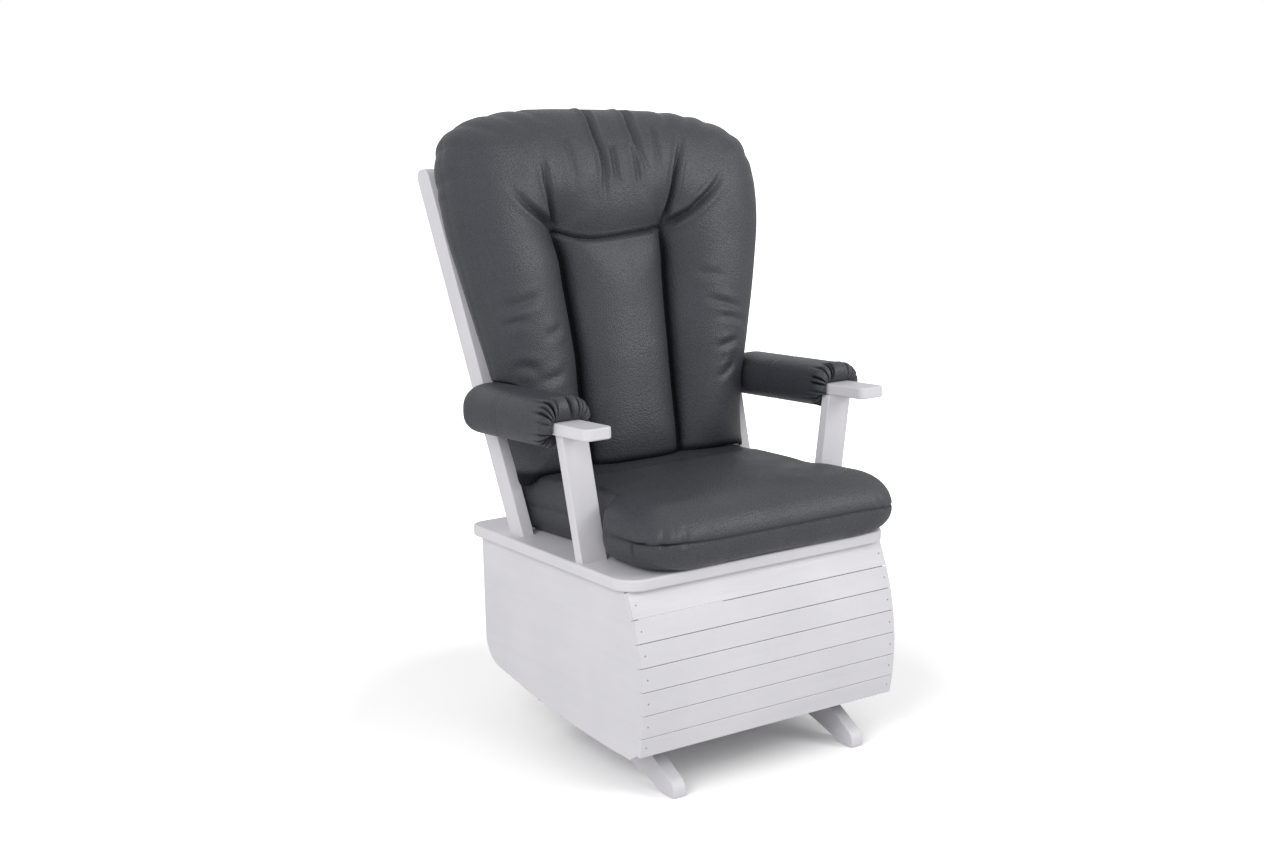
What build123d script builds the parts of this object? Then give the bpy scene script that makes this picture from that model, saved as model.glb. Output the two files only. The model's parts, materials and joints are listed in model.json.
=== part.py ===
from build123d import *
import os
from math import asin, atan, cos, degrees, radians, sin, sqrt

# Glider nursery chair in millimetres: +Z is up, the sitter faces -Y, and the origin lies on the floor
# under the middle of the chair. The seat box hangs on four links from a base with two runners.

# Box under the seat
box_width = 530.0
panel_thickness = 15.0
bulge_front = -303.0
bulge_radius = 390.0
bulge_height = 168.0
skirt_bottom = 81.5
panel_low_y = -263.5
panel_low_z = 70.0
sweep_bow = 11.0
corner_y = 161.5
corner_z = 129.5
corner_radius = 53.0
box_rear_top = 170.5
rear_panel_thickness = 9.5
rear_panel_bottom = 172.0
rear_panel_inset = 1.0

# Front slats
slat_count = 7
slat_thickness = 9.5
slat_seam = 0.8
slat_round = 1.2
top_slat_height = 44.8
bottom_slat_height = 33.6
nail_radius = 1.3
nail_length = 22.0
nail_inset = 10.0

# Eased edges of the boards
board_ease = 2.0

# Seat deck
deck_underside = 345.0
deck_thickness = 20.0
deck_overhang = 12.5
deck_setback = 28.5
deck_depth = 467.0
deck_front_corner = 40.0
deck_rear_corner = 24.0
deck_round = 4.0
cleat_thickness = 18.0
cleat_height = 42.0

# Arm posts and arm boards
post_inset = 7.0
post_setback = 130.0
post_width = 50.0
post_thickness = 19.0
post_lean_out = 0.154
post_lean_back = 0.027
arm_width = 52.0
arm_thickness = 19.4
arm_front_rise = 236.0
arm_front_reach = 78.0
arm_outside_post = 6.0
arm_fall = 2.8
arm_corner = 11.0
arm_round = 3.0
arm_tail_lap = 14.0
arm_tail_corner = 14.0

# Back frame
stile_inset = 23.5
stile_setback = 329.5
stile_thickness = 23.0
stile_depth = 42.0
stile_lean_out = 0.0765
stile_lean_back = 0.354
stile_rise = 603.0
stile_top_round = 17.0
back_rail_thickness = 19.0
back_rail_recess = 8.0
top_rail_height = 70.0
top_rail_low = 540.0
low_rail_height = 60.0
low_rail_gap = 3.0
back_slat_count = 5
back_slat_width = 46.0
back_slat_thickness = 11.0
back_slat_pitch = 82.0

# Glide base
runner_thickness = 25.0
runner_toe = -297.5
runner_heel = 98.0
runner_top = 84.0
runner_ramp = 91.0
nose_length = 16.0
nose_height = 32.0
nose_bow = 6.0
runner_foot = 32.0
runner_rise = 200.0
runner_rise_bow = 6.0
runner_depth = 30.0
heel_round = 18.0
rear_foot_width = 210.0
rear_foot_flare = 24.0
rear_foot_thickness = 25.0
glide_radius = 8.0
glide_height = 4.0
glide_proud = 1.5
glide_inset = 22.0
upright_width = 45.0
upright_spread = 150.0
stretcher_height = 46.0
stretcher_thickness = 25.0
stretcher_lift = 10.0
base_rail_height = 44.0
bumper_radius = 9.0
bumper_length = 12.0
stop_clearance = 0.5

# Hanger links and pivots
pivot_drop = 37.0
hanger_length = 170.0
pivot_spread = 210.0
glide_limit = 15.0
hanger_thickness = 20.0
hanger_width = 40.0
hanger_gap = 3.0
carrier_thickness = 22.0
carrier_height = 44.0
carrier_end = 26.0
bolt_radius = 4.0
bolt_head_height = 5.3
bolt_head_flats = 13.0
flange_radius = 9.0
flange_height = 1.5
nut_height = 6.5
hub_height = 1.0
bearing_radius = 11.0
bearing_width = 7.0
inner_race_radius = 6.05
outer_race_bore = 8.9
ball_count = 7
recess_radius = 9.5
insert_radius = 6.0
insert_length = 20.0
screw_radius = 3.0
screw_head_radius = 5.5
screw_head_height = 3.0
deck_screw_length = 60.0
stretcher_screw_length = 62.0

# Cushions and pads
seat_side_gap = 1.5
seat_ear_reach = 43.0
seat_ear_lie = 14.0
seat_front_gap = 6.0
seat_tuck = 52.0
seat_tail_share = 0.85
seat_ear_gap = 5.0
seat_shoulder = 3.0
seat_crown = 109.0
back_width = 652.0
back_length = 628.0
back_foot = 95.0
back_swell = 138.0
channel_spread = 238.0
pad_setback = 86.5
pad_length = 266.0
pad_width = 98.0
pad_height = 88.0
pad_lift = 8.0

# Clearances
soft_gap = 0.4
fit_gap = 0.02
ball_gap = 0.05
hole_gap = 0.1
cut_margin = 1.0

# Places worked out from the sizes above
bulge_centre_y = bulge_front + bulge_radius
panel_inner = box_width / 2 - panel_thickness
deck_top = deck_underside + deck_thickness
arm_front_top = deck_top + arm_front_rise
upper_pivot_z = deck_underside - pivot_drop
deck_front = bulge_front + deck_setback
deck_half = box_width / 2 + deck_overhang
lower_pivot_z = upper_pivot_z - hanger_length
glide_travel = hanger_length * sin(radians(glide_limit))
carrier_inner = panel_inner - carrier_thickness
hanger_outer = carrier_inner - hanger_gap
hanger_inner = hanger_outer - hanger_thickness
base_outer = hanger_inner - hanger_gap
base_inner = base_outer - runner_thickness
post_outer = deck_half - post_inset
post_front = deck_front + post_setback
stile_outer = deck_half - stile_inset
stile_inner = stile_outer - stile_thickness
stile_front = deck_front + stile_setback
back_angle = atan(stile_lean_back)
rail_low = upper_pivot_z - base_rail_height / 2


def flat_face(points):
    """Closed flat outline through the given points."""
    return make_face(Polyline(*points, close=True))


def prism_x(outline, x_low, x_high):
    """Solid between two X planes from an outline drawn in Y and Z."""
    return extrude(Pos(x_low, 0, 0) * (Plane.YZ * outline), x_high - x_low, dir=(1, 0, 0))


def block(x_low, x_high, y_low, y_high, z_low, z_high):
    """Plain block between the given planes."""
    middle = Pos((x_low + x_high) / 2, (y_low + y_high) / 2, (z_low + z_high) / 2)
    return middle * Box(x_high - x_low, y_high - y_low, z_high - z_low)


def rod_x(radius, x_low, x_high, y, z):
    """Round rod along X."""
    middle = Pos((x_low + x_high) / 2, y, z) * Rot(0, 90, 0)
    return middle * Cylinder(radius, x_high - x_low)


def ring_x(radius, bore, x_low, x_high, y, z):
    """Round ring along X."""
    return rod_x(radius, x_low, x_high, y, z) - rod_x(bore, x_low - cut_margin, x_high + cut_margin, y, z)


def hex_x(flats, x_low, x_high, y, z):
    """Six-sided prism along X."""
    outline = Plane.YZ * RegularPolygon(flats / 2, 6, major_radius=False)
    return Pos(x_low, y, z) * extrude(outline, x_high - x_low, dir=(1, 0, 0))


def to_left(shape):
    """Left-hand twin of a right-hand piece."""
    return mirror(shape, about=Plane.YZ)


def bowed(start, end, bow):
    """Arc between two points, its middle moved to the right of the way it runs."""
    run_y = end[0] - start[0]
    run_z = end[1] - start[1]
    length = sqrt(run_y**2 + run_z**2)
    middle = (
        (start[0] + end[0]) / 2 + bow * run_z / length,
        (start[1] + end[1]) / 2 - bow * run_y / length,
    )
    return ThreePointArc(start, middle, end)


# Slatted front: seams lie on the bulge, from the skirt's bottom up to the deck
def chord_angle(height):
    """Angle that a slat of this height takes on the bulge."""
    return 2 * asin(height / (2 * bulge_radius))


def bulge_angle(height):
    """Angle on the bulge at this height above the floor."""
    return asin((height - bulge_height) / bulge_radius)


def bulge_point(radius, angle):
    """Point of the bulged front at this radius and angle, as Y and Z."""
    return (bulge_centre_y - radius * cos(angle), bulge_height + radius * sin(angle))


middle_slats = slat_count - 2
first_seam = bulge_angle(skirt_bottom) + chord_angle(bottom_slat_height)
last_seam = bulge_angle(deck_underside) - chord_angle(top_slat_height)
seam_step = (last_seam - first_seam) / middle_slats
seams = [bulge_angle(skirt_bottom)]
seams += [first_seam + seam_step * k for k in range(middle_slats + 1)]
seams += [bulge_angle(deck_underside)]
half_seam = slat_seam / 2 / bulge_radius
widest_half = max(b - a for a, b in zip(seams, seams[1:])) / 2
slat_back_radius = bulge_radius - slat_thickness / cos(widest_half) - fit_gap


def front_slat(low, high):
    """One slat across the box, with bevelled long edges that follow the bulge."""
    back = bulge_radius - slat_thickness / cos((high - low) / 2)
    outline = flat_face(
        [
            bulge_point(bulge_radius, low + half_seam),
            bulge_point(bulge_radius, high - half_seam),
            bulge_point(back, high - half_seam),
            bulge_point(back, low + half_seam),
        ]
    )
    outline = fillet(outline.vertices().sort_by(Axis.X)[:2], slat_round)
    return prism_x(outline, -box_width / 2, box_width / 2)


def slat_nail(low, high, side, extra=0.0):
    """Nail through a slat's end into the side panel's edge."""
    angle = (low + high) / 2
    face_radius = bulge_radius * cos((high - low) / 2 - half_seam)
    y, z = bulge_point(face_radius - nail_length / 2, angle)
    x = side * (box_width / 2 - nail_inset)
    return Pos(x, y, z) * Rot(90 - degrees(angle), 0, 0) * Cylinder(nail_radius + extra, nail_length)


slat_spans = list(zip(seams, seams[1:]))
nails = [slat_nail(low, high, side) for low, high in slat_spans for side in (-1, 1)]
nail_holes = [slat_nail(low, high, side, hole_gap) for low, high in slat_spans for side in (-1, 1)]
slats = [front_slat(low, high) - nail_holes for low, high in slat_spans]


# Side panels, rear panel and cleats
def rear_edge(height):
    """Y of the side panel's sloping rear edge at this height."""
    share = (height - corner_z) / (deck_underside - corner_z)
    return corner_y + share * (box_rear_top - corner_y)


def side_panel():
    """Right side panel with its swept lower edge."""
    front = [bulge_point(slat_back_radius, angle) for angle in seams]
    reach = sqrt(slat_back_radius**2 - (deck_underside - bulge_height) ** 2)
    top_front = (bulge_centre_y - reach, deck_underside)
    low = (panel_low_y, panel_low_z)
    corner = (corner_y, corner_z)
    top_rear = (box_rear_top, deck_underside)
    edges = [
        Polyline(low, *front, top_front, top_rear, corner),
        bowed(low, corner, sweep_bow),
    ]
    face = make_face(edges)
    rear_corner = face.vertices().sort_by_distance((corner_y, corner_z, 0))[0]
    panel = prism_x(fillet(rear_corner, corner_radius), panel_inner, box_width / 2)
    rim = panel.faces().sort_by(Axis.X)[-1].edges()
    behind = [edge for edge in rim if edge.center().Y > panel_low_y + board_ease]
    free = [edge for edge in behind if edge.center().Z < deck_underside - board_ease]
    return fillet(free, board_ease)


right_panel = side_panel() - nail_holes
left_panel = to_left(side_panel()) - nail_holes


def rear_panel_face(height, inset):
    """Y of a plane parallel to the rear edge, at this height."""
    return rear_edge(height) - rear_panel_inset - inset


rear_outline = [
    (rear_panel_face(rear_panel_bottom, 0), rear_panel_bottom),
    (rear_panel_face(deck_underside, 0), deck_underside),
    (rear_panel_face(deck_underside, rear_panel_thickness), deck_underside),
    (rear_panel_face(rear_panel_bottom, rear_panel_thickness), rear_panel_bottom),
]
rear_panel = prism_x(flat_face(rear_outline), -panel_inner, panel_inner)

cleat_low = deck_underside - cleat_height
front_cleat_face = bulge_point(slat_back_radius, seams[-1])[0] + cleat_thickness + stop_clearance
rear_cleat_face = rear_panel_face(cleat_low, rear_panel_thickness) - cleat_thickness
front_cleat = block(
    -panel_inner, panel_inner, front_cleat_face - cleat_thickness, front_cleat_face, cleat_low, deck_underside
)
rear_cleat = block(
    -panel_inner, panel_inner, rear_cleat_face, rear_cleat_face + cleat_thickness, cleat_low, deck_underside
)

# Glide base: its rails end one glide travel short of the deck cleats
bumper_front = front_cleat_face + glide_travel + stop_clearance
bumper_rear = rear_cleat_face - glide_travel - stop_clearance
rail_front = bumper_front + bumper_length
rail_rear = bumper_rear - bumper_length
glide_middle = (rail_front + rail_rear) / 2
pivot_ys = (glide_middle - pivot_spread / 2, glide_middle + pivot_spread / 2)
upright_ys = (glide_middle - upright_spread / 2, glide_middle + upright_spread / 2)
stretcher_low = runner_top + stretcher_lift
stretcher_z = stretcher_low + stretcher_height / 2
runner_mid_x = (base_inner + base_outer) / 2
runner_low = runner_top - runner_depth
rear_foot_y = runner_heel - rear_foot_thickness / 2
glide_places = [
    (runner_mid_x, runner_toe + glide_inset),
    (rear_foot_width / 2 - glide_inset, rear_foot_y),
]


def runner_outline():
    """Side view of a runner: ramped toe with a rounded nose, rising sole and blunt heel."""
    sole = glide_proud
    nose_top = (runner_toe + nose_length, nose_height)
    toe = (runner_toe, sole)
    foot_end = (runner_toe + runner_foot, sole)
    rise_end = (foot_end[0] + runner_rise, runner_low)
    heel_low = (runner_heel, runner_low)
    heel_top = (runner_heel, runner_top)
    ramp_top = (nose_top[0] + runner_ramp, runner_top)
    edges = [
        bowed(nose_top, toe, nose_bow),
        Polyline(toe, foot_end),
        bowed(foot_end, rise_end, -runner_rise_bow),
        Polyline(rise_end, heel_low, heel_top, ramp_top, nose_top),
    ]
    face = make_face(edges)
    heel = face.vertices().sort_by_distance((*heel_top, 0))[0]
    return fillet(heel, heel_round)


def foot_glide(x, y, extra=0.0):
    """Round glide let into the sole of a runner or of the rear foot."""
    return Pos(x, y, glide_height / 2) * Cylinder(glide_radius + extra, glide_height)


def rear_foot():
    """Cross board between the runners' heels, with a foot in its middle that stands on the floor."""
    foot_half = rear_foot_width / 2
    flare_half = foot_half + rear_foot_flare
    corners = [
        (-base_inner, runner_top),
        (-base_inner, runner_low),
        (-flare_half, runner_low),
        (-foot_half, glide_proud),
        (foot_half, glide_proud),
        (flare_half, runner_low),
        (base_inner, runner_low),
        (base_inner, runner_top),
    ]
    face = Pos(0, runner_heel, 0) * (Plane.XZ * flat_face(corners))
    return extrude(face, rear_foot_thickness, dir=(0, -1, 0)) - both(glide_pockets)


def upper_bolt(y):
    """Flanged pivot bolt of the base, from the rail's inner face out through the hanger's bearing."""
    head_low = base_inner - flange_height - bolt_head_height
    shank_end = hanger_inner + bearing_width + hub_height + nut_height + hub_height
    bolt = hex_x(bolt_head_flats, head_low, base_inner - flange_height, y, upper_pivot_z)
    bolt += rod_x(flange_radius, base_inner - flange_height, base_inner, y, upper_pivot_z)
    return bolt + rod_x(bolt_radius - fit_gap, base_inner, shank_end, y, upper_pivot_z)


def upper_nut(y):
    """Nut inside the hanger's recess, with a hub that bears on the inner race."""
    low = hanger_inner + bearing_width
    nut = rod_x(inner_race_radius, low, low + hub_height, y, upper_pivot_z)
    nut += hex_x(bolt_head_flats, low + hub_height, low + hub_height + nut_height, y, upper_pivot_z)
    bore_end = low + hub_height + nut_height + cut_margin
    return nut - rod_x(bolt_radius, low - cut_margin, bore_end, y, upper_pivot_z)


def stretcher_screw(y, extra=0.0):
    """Screw from the upright's outer face into the end of a stretcher."""
    screw = rod_x(screw_radius + extra, base_outer - stretcher_screw_length, base_outer, y, stretcher_z)
    head = rod_x(screw_head_radius + extra, base_outer - screw_head_height, base_outer, y, stretcher_z)
    return screw + head


def both(shapes):
    """Right-hand shapes together with their left-hand twins."""
    return list(shapes) + [to_left(shape) for shape in shapes]


glide_pockets = [foot_glide(x, y, hole_gap) for x, y in glide_places]


def runner():
    """Right runner with eased edges on its toe."""
    bar = prism_x(runner_outline(), base_inner, base_outer)
    ramp_end = runner_toe + nose_length + runner_ramp
    toe_edges = [
        edge
        for edge in bar.edges()
        if edge.center().Y < ramp_end - board_ease
        and edge.center().Z > nose_height / 3
        and abs(edge.tangent_at(0).X) < 0.5
        and edge.center().Z > (edge.center().Y - runner_toe) * runner_low / (runner_foot + runner_rise)
    ]
    return fillet(toe_edges, board_ease) - glide_pockets


screw_holes = both([stretcher_screw(y, hole_gap) for y in upright_ys])


def upright(y):
    """Right-hand upright between runner and top rail."""
    half = upright_width / 2
    post = block(base_inner, base_outer, y - half, y + half, runner_top, rail_low)
    return post - stretcher_screw(y, hole_gap)


def stretcher(y):
    """Cross stretcher between the left and right uprights."""
    half = stretcher_thickness / 2
    bar = block(-base_inner, base_inner, y - half, y + half, stretcher_low, stretcher_low + stretcher_height)
    return bar - screw_holes


bolt_holes = [
    rod_x(bolt_radius + hole_gap, base_inner - cut_margin, base_outer + cut_margin, y, upper_pivot_z)
    for y in pivot_ys
]
right_rail = block(
    base_inner, base_outer, rail_front, rail_rear, rail_low, rail_low + base_rail_height
) - bolt_holes


def bumper(y):
    """Rubber stop on the end of the right top rail, its middle at this Y."""
    return Pos(runner_mid_x, y, upper_pivot_z) * Rot(90, 0, 0) * Cylinder(bumper_radius, bumper_length)


bumpers = [bumper(rail_front - bumper_length / 2), bumper(rail_rear + bumper_length / 2)]


# Hangers: each has a bearing at the top, open to the base, and one below, open to the carrier rail
def hanger(y):
    """Right-hand hanger link with its bearing pockets and bolt recesses."""
    half = hanger_width / 2
    link = block(hanger_inner, hanger_outer, y - half, y + half, lower_pivot_z, upper_pivot_z)
    for z in (lower_pivot_z, upper_pivot_z):
        link += rod_x(half, hanger_inner, hanger_outer, y, z)
    for z in (lower_pivot_z, upper_pivot_z):
        link -= rod_x(recess_radius, hanger_inner - cut_margin, hanger_outer + cut_margin, y, z)
    link -= rod_x(bearing_radius, hanger_inner - cut_margin, hanger_inner + bearing_width, y, upper_pivot_z)
    seat_end = hanger_outer + cut_margin
    return link - rod_x(bearing_radius, hanger_outer - bearing_width, seat_end, y, lower_pivot_z)


def bearing_outer(y, z, x_low):
    """Outer race of a ball bearing and its ring of balls."""
    race = ring_x(bearing_radius - fit_gap, outer_race_bore, x_low, x_low + bearing_width, y, z)
    track = (inner_race_radius + outer_race_bore) / 2
    ball_radius = (outer_race_bore - inner_race_radius) / 2 - ball_gap
    balls = []
    for k in range(ball_count):
        turn = radians(360 * k / ball_count)
        place = Pos(x_low + bearing_width / 2, y + track * cos(turn), z + track * sin(turn))
        balls.append(place * Sphere(ball_radius))
    return [race] + balls


def hanger_bearings(y):
    """Moving parts of both bearings of a right-hand hanger."""
    upper = bearing_outer(y, upper_pivot_z, hanger_inner)
    return upper + bearing_outer(y, lower_pivot_z, hanger_outer - bearing_width)


def inner_race(y, z, x_low):
    """Inner race of a bearing, held on its pivot bolt."""
    return ring_x(inner_race_radius, bolt_radius, x_low, x_low + bearing_width, y, z)


def spacer(y, z, x_low):
    """Spacer ring between a bearing's inner race and the wood beside it."""
    return ring_x(inner_race_radius, bolt_radius, x_low, x_low + hanger_gap, y, z)


# Seat side of the lower pivots
def lower_bolt(y):
    """Pivot bolt with its head in the hanger's recess, screwed into the carrier rail's insert."""
    hub_low = hanger_outer - bearing_width - hub_height
    bolt = hex_x(bolt_head_flats, hub_low - bolt_head_height, hub_low, y, lower_pivot_z)
    bolt += rod_x(inner_race_radius, hub_low, hub_low + hub_height, y, lower_pivot_z)
    shank_end = carrier_inner + insert_length
    return bolt + rod_x(bolt_radius - fit_gap, hub_low + hub_height, shank_end, y, lower_pivot_z)


carrier_front = pivot_ys[0] - carrier_end
carrier_rear = pivot_ys[1] + carrier_end
carrier_low = lower_pivot_z - carrier_height / 2
insert_end = carrier_inner + insert_length
insert_holes = [rod_x(insert_radius, carrier_inner - cut_margin, insert_end, y, lower_pivot_z)
                for y in pivot_ys]
right_carrier = block(
    carrier_inner, panel_inner, carrier_front, carrier_rear, carrier_low, carrier_low + carrier_height
) - insert_holes
inserts = [
    ring_x(insert_radius - fit_gap, bolt_radius, carrier_inner, insert_end, y, lower_pivot_z)
    for y in pivot_ys
]


# Arm boards lie on a plane that falls towards the back; the posts end under them
def post_shift(height):
    """How far the post has leaned outwards and backwards at this height."""
    return (height - deck_top) * post_lean_out, (height - deck_top) * post_lean_back


fall = radians(arm_fall)
arm_under = arm_front_top - arm_thickness
arm_outer = post_outer + post_shift(arm_under)[0] + arm_outside_post
arm_inner = arm_outer - arm_width
arm_front = post_front + post_shift(arm_under)[1] - arm_front_reach
arm_plane = Plane(origin=(0, arm_front, arm_front_top), x_dir=(1, 0, 0), z_dir=(0, sin(fall), cos(fall)))
arm_under_plane = arm_plane.offset(-arm_thickness)
stile_at_arm = stile_front + (arm_under - deck_top) * stile_lean_back
arm_length = stile_at_arm + arm_tail_lap - arm_front


def leaning_post(x_low, x_high, y_low, y_high, lean_out, lean_back, height):
    """Bar that stands on the deck and leans, its section level at every height."""
    outline = Rectangle(x_high - x_low, y_high - y_low)
    foot = Pos((x_low + x_high) / 2, (y_low + y_high) / 2, deck_top) * outline
    stretch = sqrt(lean_out**2 + lean_back**2 + 1)
    return extrude(foot, height * stretch, dir=(lean_out / stretch, lean_back / stretch, 1 / stretch))


def stile_bar(extra=0.0):
    """Right back stile, or the room that it needs when a clearance is given."""
    return leaning_post(
        stile_inner - extra,
        stile_outer + extra,
        stile_front - extra,
        stile_front + stile_depth + extra,
        stile_lean_out,
        stile_lean_back,
        stile_rise + extra,
    )


def deck_screw(x, y, extra=0.0):
    """Screw from below the deck up into a post or stile."""
    shank = Cylinder(screw_radius + extra, deck_screw_length)
    screw = Pos(x, y, deck_underside + deck_screw_length / 2) * shank
    cap = Cylinder(screw_head_radius + extra, screw_head_height)
    head = Pos(x, y, deck_underside + screw_head_height / 2) * cap
    return screw + head


post_screw_y = post_front + post_thickness / 2 + post_lean_back * deck_screw_length / 3
stile_screw_x = (stile_inner + stile_outer) / 2 + stile_lean_out * deck_screw_length / 3
post_screw_xs = [post_outer - post_width * share for share in (0.25, 0.7)]
stile_screw_ys = [stile_front + stile_depth * share for share in (0.45, 0.8)]
screw_places = [(x, post_screw_y) for x in post_screw_xs] + [(stile_screw_x, y) for y in stile_screw_ys]
deck_screws = [deck_screw(x, y) for x, y in screw_places]
deck_screw_holes = [deck_screw(x, y, hole_gap) for x, y in screw_places]


def post_bar(extra=0.0):
    """Right arm post before its top is cut, or the room that it needs when a clearance is given."""
    return leaning_post(
        post_outer - post_width - extra,
        post_outer + extra,
        post_front - extra,
        post_front + post_thickness + extra,
        post_lean_out,
        post_lean_back,
        arm_front_rise,
    )


def arm_post():
    """Right arm post, cut off under the sloping arm board."""
    bar = split(post_bar(), bisect_by=arm_under_plane, keep=Keep.BOTTOM)
    upright_edges = bar.edges().filter_by(lambda edge: edge.length > post_width * 2)
    return fillet(upright_edges, board_ease) - deck_screw_holes


def back_stile():
    """Right back stile with its rounded top end."""
    bar = stile_bar()
    top_edges = bar.faces().sort_by(Axis.Z)[-1].edges().filter_by(Axis.X)
    bar = fillet(top_edges, stile_top_round)
    sides = [bar.faces().sort_by(Axis.X)[place] for place in (0, -1)]
    rims = [edge for face in sides for edge in face.edges() if edge.center().Z > deck_top + board_ease]
    return fillet(rims, board_ease) - deck_screw_holes


def arm_board(extra=0.0):
    """Right arm board with rounded front corners, notched round the stile when no clearance is asked."""
    middle = (arm_inner + arm_outer) / 2
    outline = Pos(middle, arm_length / 2) * Rectangle(arm_width + 2 * extra, arm_length + 2 * extra)
    if extra:
        return Pos(0, 0, extra) * extrude(arm_plane * outline, -(arm_thickness + 2 * extra))
    tail = outline.vertices().sort_by_distance((arm_outer, arm_length, 0))[0]
    outline = fillet(tail, arm_tail_corner)
    outline = fillet(outline.vertices().sort_by(Axis.Y)[:2], arm_corner)
    board = extrude(arm_plane * outline, -arm_thickness)
    board = fillet(board.edges().filter_by(lambda edge: abs(edge.tangent_at(0).Z) < 0.5), arm_round)
    return board - stile_bar(fit_gap)


# Back rails and slats lie in the plane of the reclined back
back_plane = Plane(
    origin=(0, stile_front, deck_top),
    x_dir=(1, 0, 0),
    z_dir=(0, -cos(back_angle), sin(back_angle)),
)


def between_stiles(shape):
    """Part of a back piece that lies between the inner faces of the stiles."""
    for side in (1, -1):
        corner = (side * stile_inner, stile_front, deck_top)
        inner_face = Plane(origin=corner, z_dir=(side, 0, -stile_lean_out))
        shape = split(shape, bisect_by=inner_face, keep=Keep.BOTTOM)
    return shape


def back_board(x_middle, width, low, high, recess, thickness):
    """Board in the plane of the back, set in from the front of the stiles."""
    outline = Pos(x_middle, (low + high) / 2) * Rectangle(width, high - low)
    return extrude(back_plane.offset(-recess) * outline, -thickness)


low_rail_depth = back_rail_recess + back_rail_thickness
low_rail_low = (
    seat_crown * seat_tail_share + low_rail_gap + low_rail_depth * sin(back_angle)
) / cos(back_angle)
rail_reach = 2 * (stile_inner + stile_lean_out * stile_rise)


def back_rail(low, high):
    """Rail of the back that ends at the inner faces of the stiles."""
    return between_stiles(back_board(0, rail_reach, low, high, back_rail_recess, back_rail_thickness))


top_rail = back_rail(top_rail_low, top_rail_low + top_rail_height)
low_rail = back_rail(low_rail_low, low_rail_low + low_rail_height)
back_slat_recess = back_rail_recess + (back_rail_thickness - back_slat_thickness) / 2
back_slats = [
    back_board(
        back_slat_pitch * (k - (back_slat_count - 1) / 2),
        back_slat_width,
        low_rail_low + low_rail_height,
        top_rail_low,
        back_slat_recess,
        back_slat_thickness,
    )
    for k in range(back_slat_count)
]


# Seat deck
def seat_deck():
    """Deck board with rounded corners and eased edges."""
    outline = Pos(0, deck_front + deck_depth / 2) * Rectangle(2 * deck_half, deck_depth)
    corners = outline.vertices().sort_by(Axis.Y)
    front_corners = [(corner.X, corner.Y) for corner in corners[:2]]
    outline = fillet(corners[2:], deck_rear_corner)
    fronts = [outline.vertices().sort_by_distance((x, y, 0))[0] for x, y in front_corners]
    outline = fillet(fronts, deck_front_corner)
    board = extrude(Pos(0, 0, deck_underside) * outline, deck_thickness)
    rims = board.edges().group_by(Axis.Z)
    board = fillet(rims[0] + rims[-1], deck_round)
    return board - both(deck_screw_holes)


# Arm pads: sleeves with a gathered front end and a rounded back end
def pad_section(along, width_share, height_share, extra):
    """Rounded section of the right arm pad, this far from the front of the arm."""
    half_width = pad_width * width_share / 2 + extra
    half_height = pad_height * height_share / 2 + extra
    corner_x = half_width * 0.72
    corner_y = half_height * 0.72
    edges = [
        ThreePointArc((-corner_x, -corner_y), (0, -half_height), (corner_x, -corner_y)),
        ThreePointArc((corner_x, -corner_y), (half_width, 0), (corner_x, corner_y)),
        ThreePointArc((corner_x, corner_y), (0, half_height), (-corner_x, corner_y)),
        ThreePointArc((-corner_x, corner_y), (-half_width, 0), (-corner_x, -corner_y)),
    ]
    start = arm_plane.from_local_coords(
        ((arm_inner + arm_outer) / 2, along, pad_lift - arm_thickness / 2)
    )
    plane = Plane(origin=start, x_dir=(1, 0, 0), z_dir=-arm_plane.y_dir)
    return plane * make_face(edges)


pad_shape = [
    (0.0, 0.86, 0.7),
    (0.05, 1.0, 0.94),
    (0.5, 1.0, 1.0),
    (0.85, 0.98, 0.95),
    (0.96, 0.8, 0.74),
    (1.0, 0.5, 0.42),
]


def pad_body(extra=0.0):
    """Outer form of the right arm pad."""
    sections = [
        pad_section(pad_setback + pad_length * share, width_share, height_share, extra)
        for share, width_share, height_share in pad_shape
    ]
    return loft(sections, ruled=True)


def arm_pad():
    """Right arm pad, open where the arm board passes through it and clear of the post and the stile."""
    post_room = split(post_bar(soft_gap), bisect_by=arm_under_plane, keep=Keep.BOTTOM)
    return pad_body() - arm_board(soft_gap) - stile_bar(soft_gap) - post_room


# Seat cushion: a crowned body between the posts and wide ears in front of them
seat_front = bulge_front + seat_front_gap
ear_rear = post_front - seat_ear_gap
seat_rear = stile_front + seat_tuck


def seat_section(y, middle, half_width, low, edge, crown):
    """Crowned section of the seat cushion at this Y, its heights above the deck."""
    draw = 0.55 * (edge - low)
    low_x = half_width - draw
    edge_x = half_width - draw * 0.55
    edges = [
        Line((-low_x, low), (low_x, low)),
        ThreePointArc((low_x, low), (half_width, (low + edge) / 2), (edge_x, edge)),
        ThreePointArc((edge_x, edge), (0, crown), (-edge_x, edge)),
        ThreePointArc((-edge_x, edge), (-half_width, (low + edge) / 2), (-low_x, low)),
    ]
    plane = Plane(origin=(middle, y, deck_top), x_dir=(1, 0, 0), z_dir=(0, -1, 0))
    return plane * make_face(edges)


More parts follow.
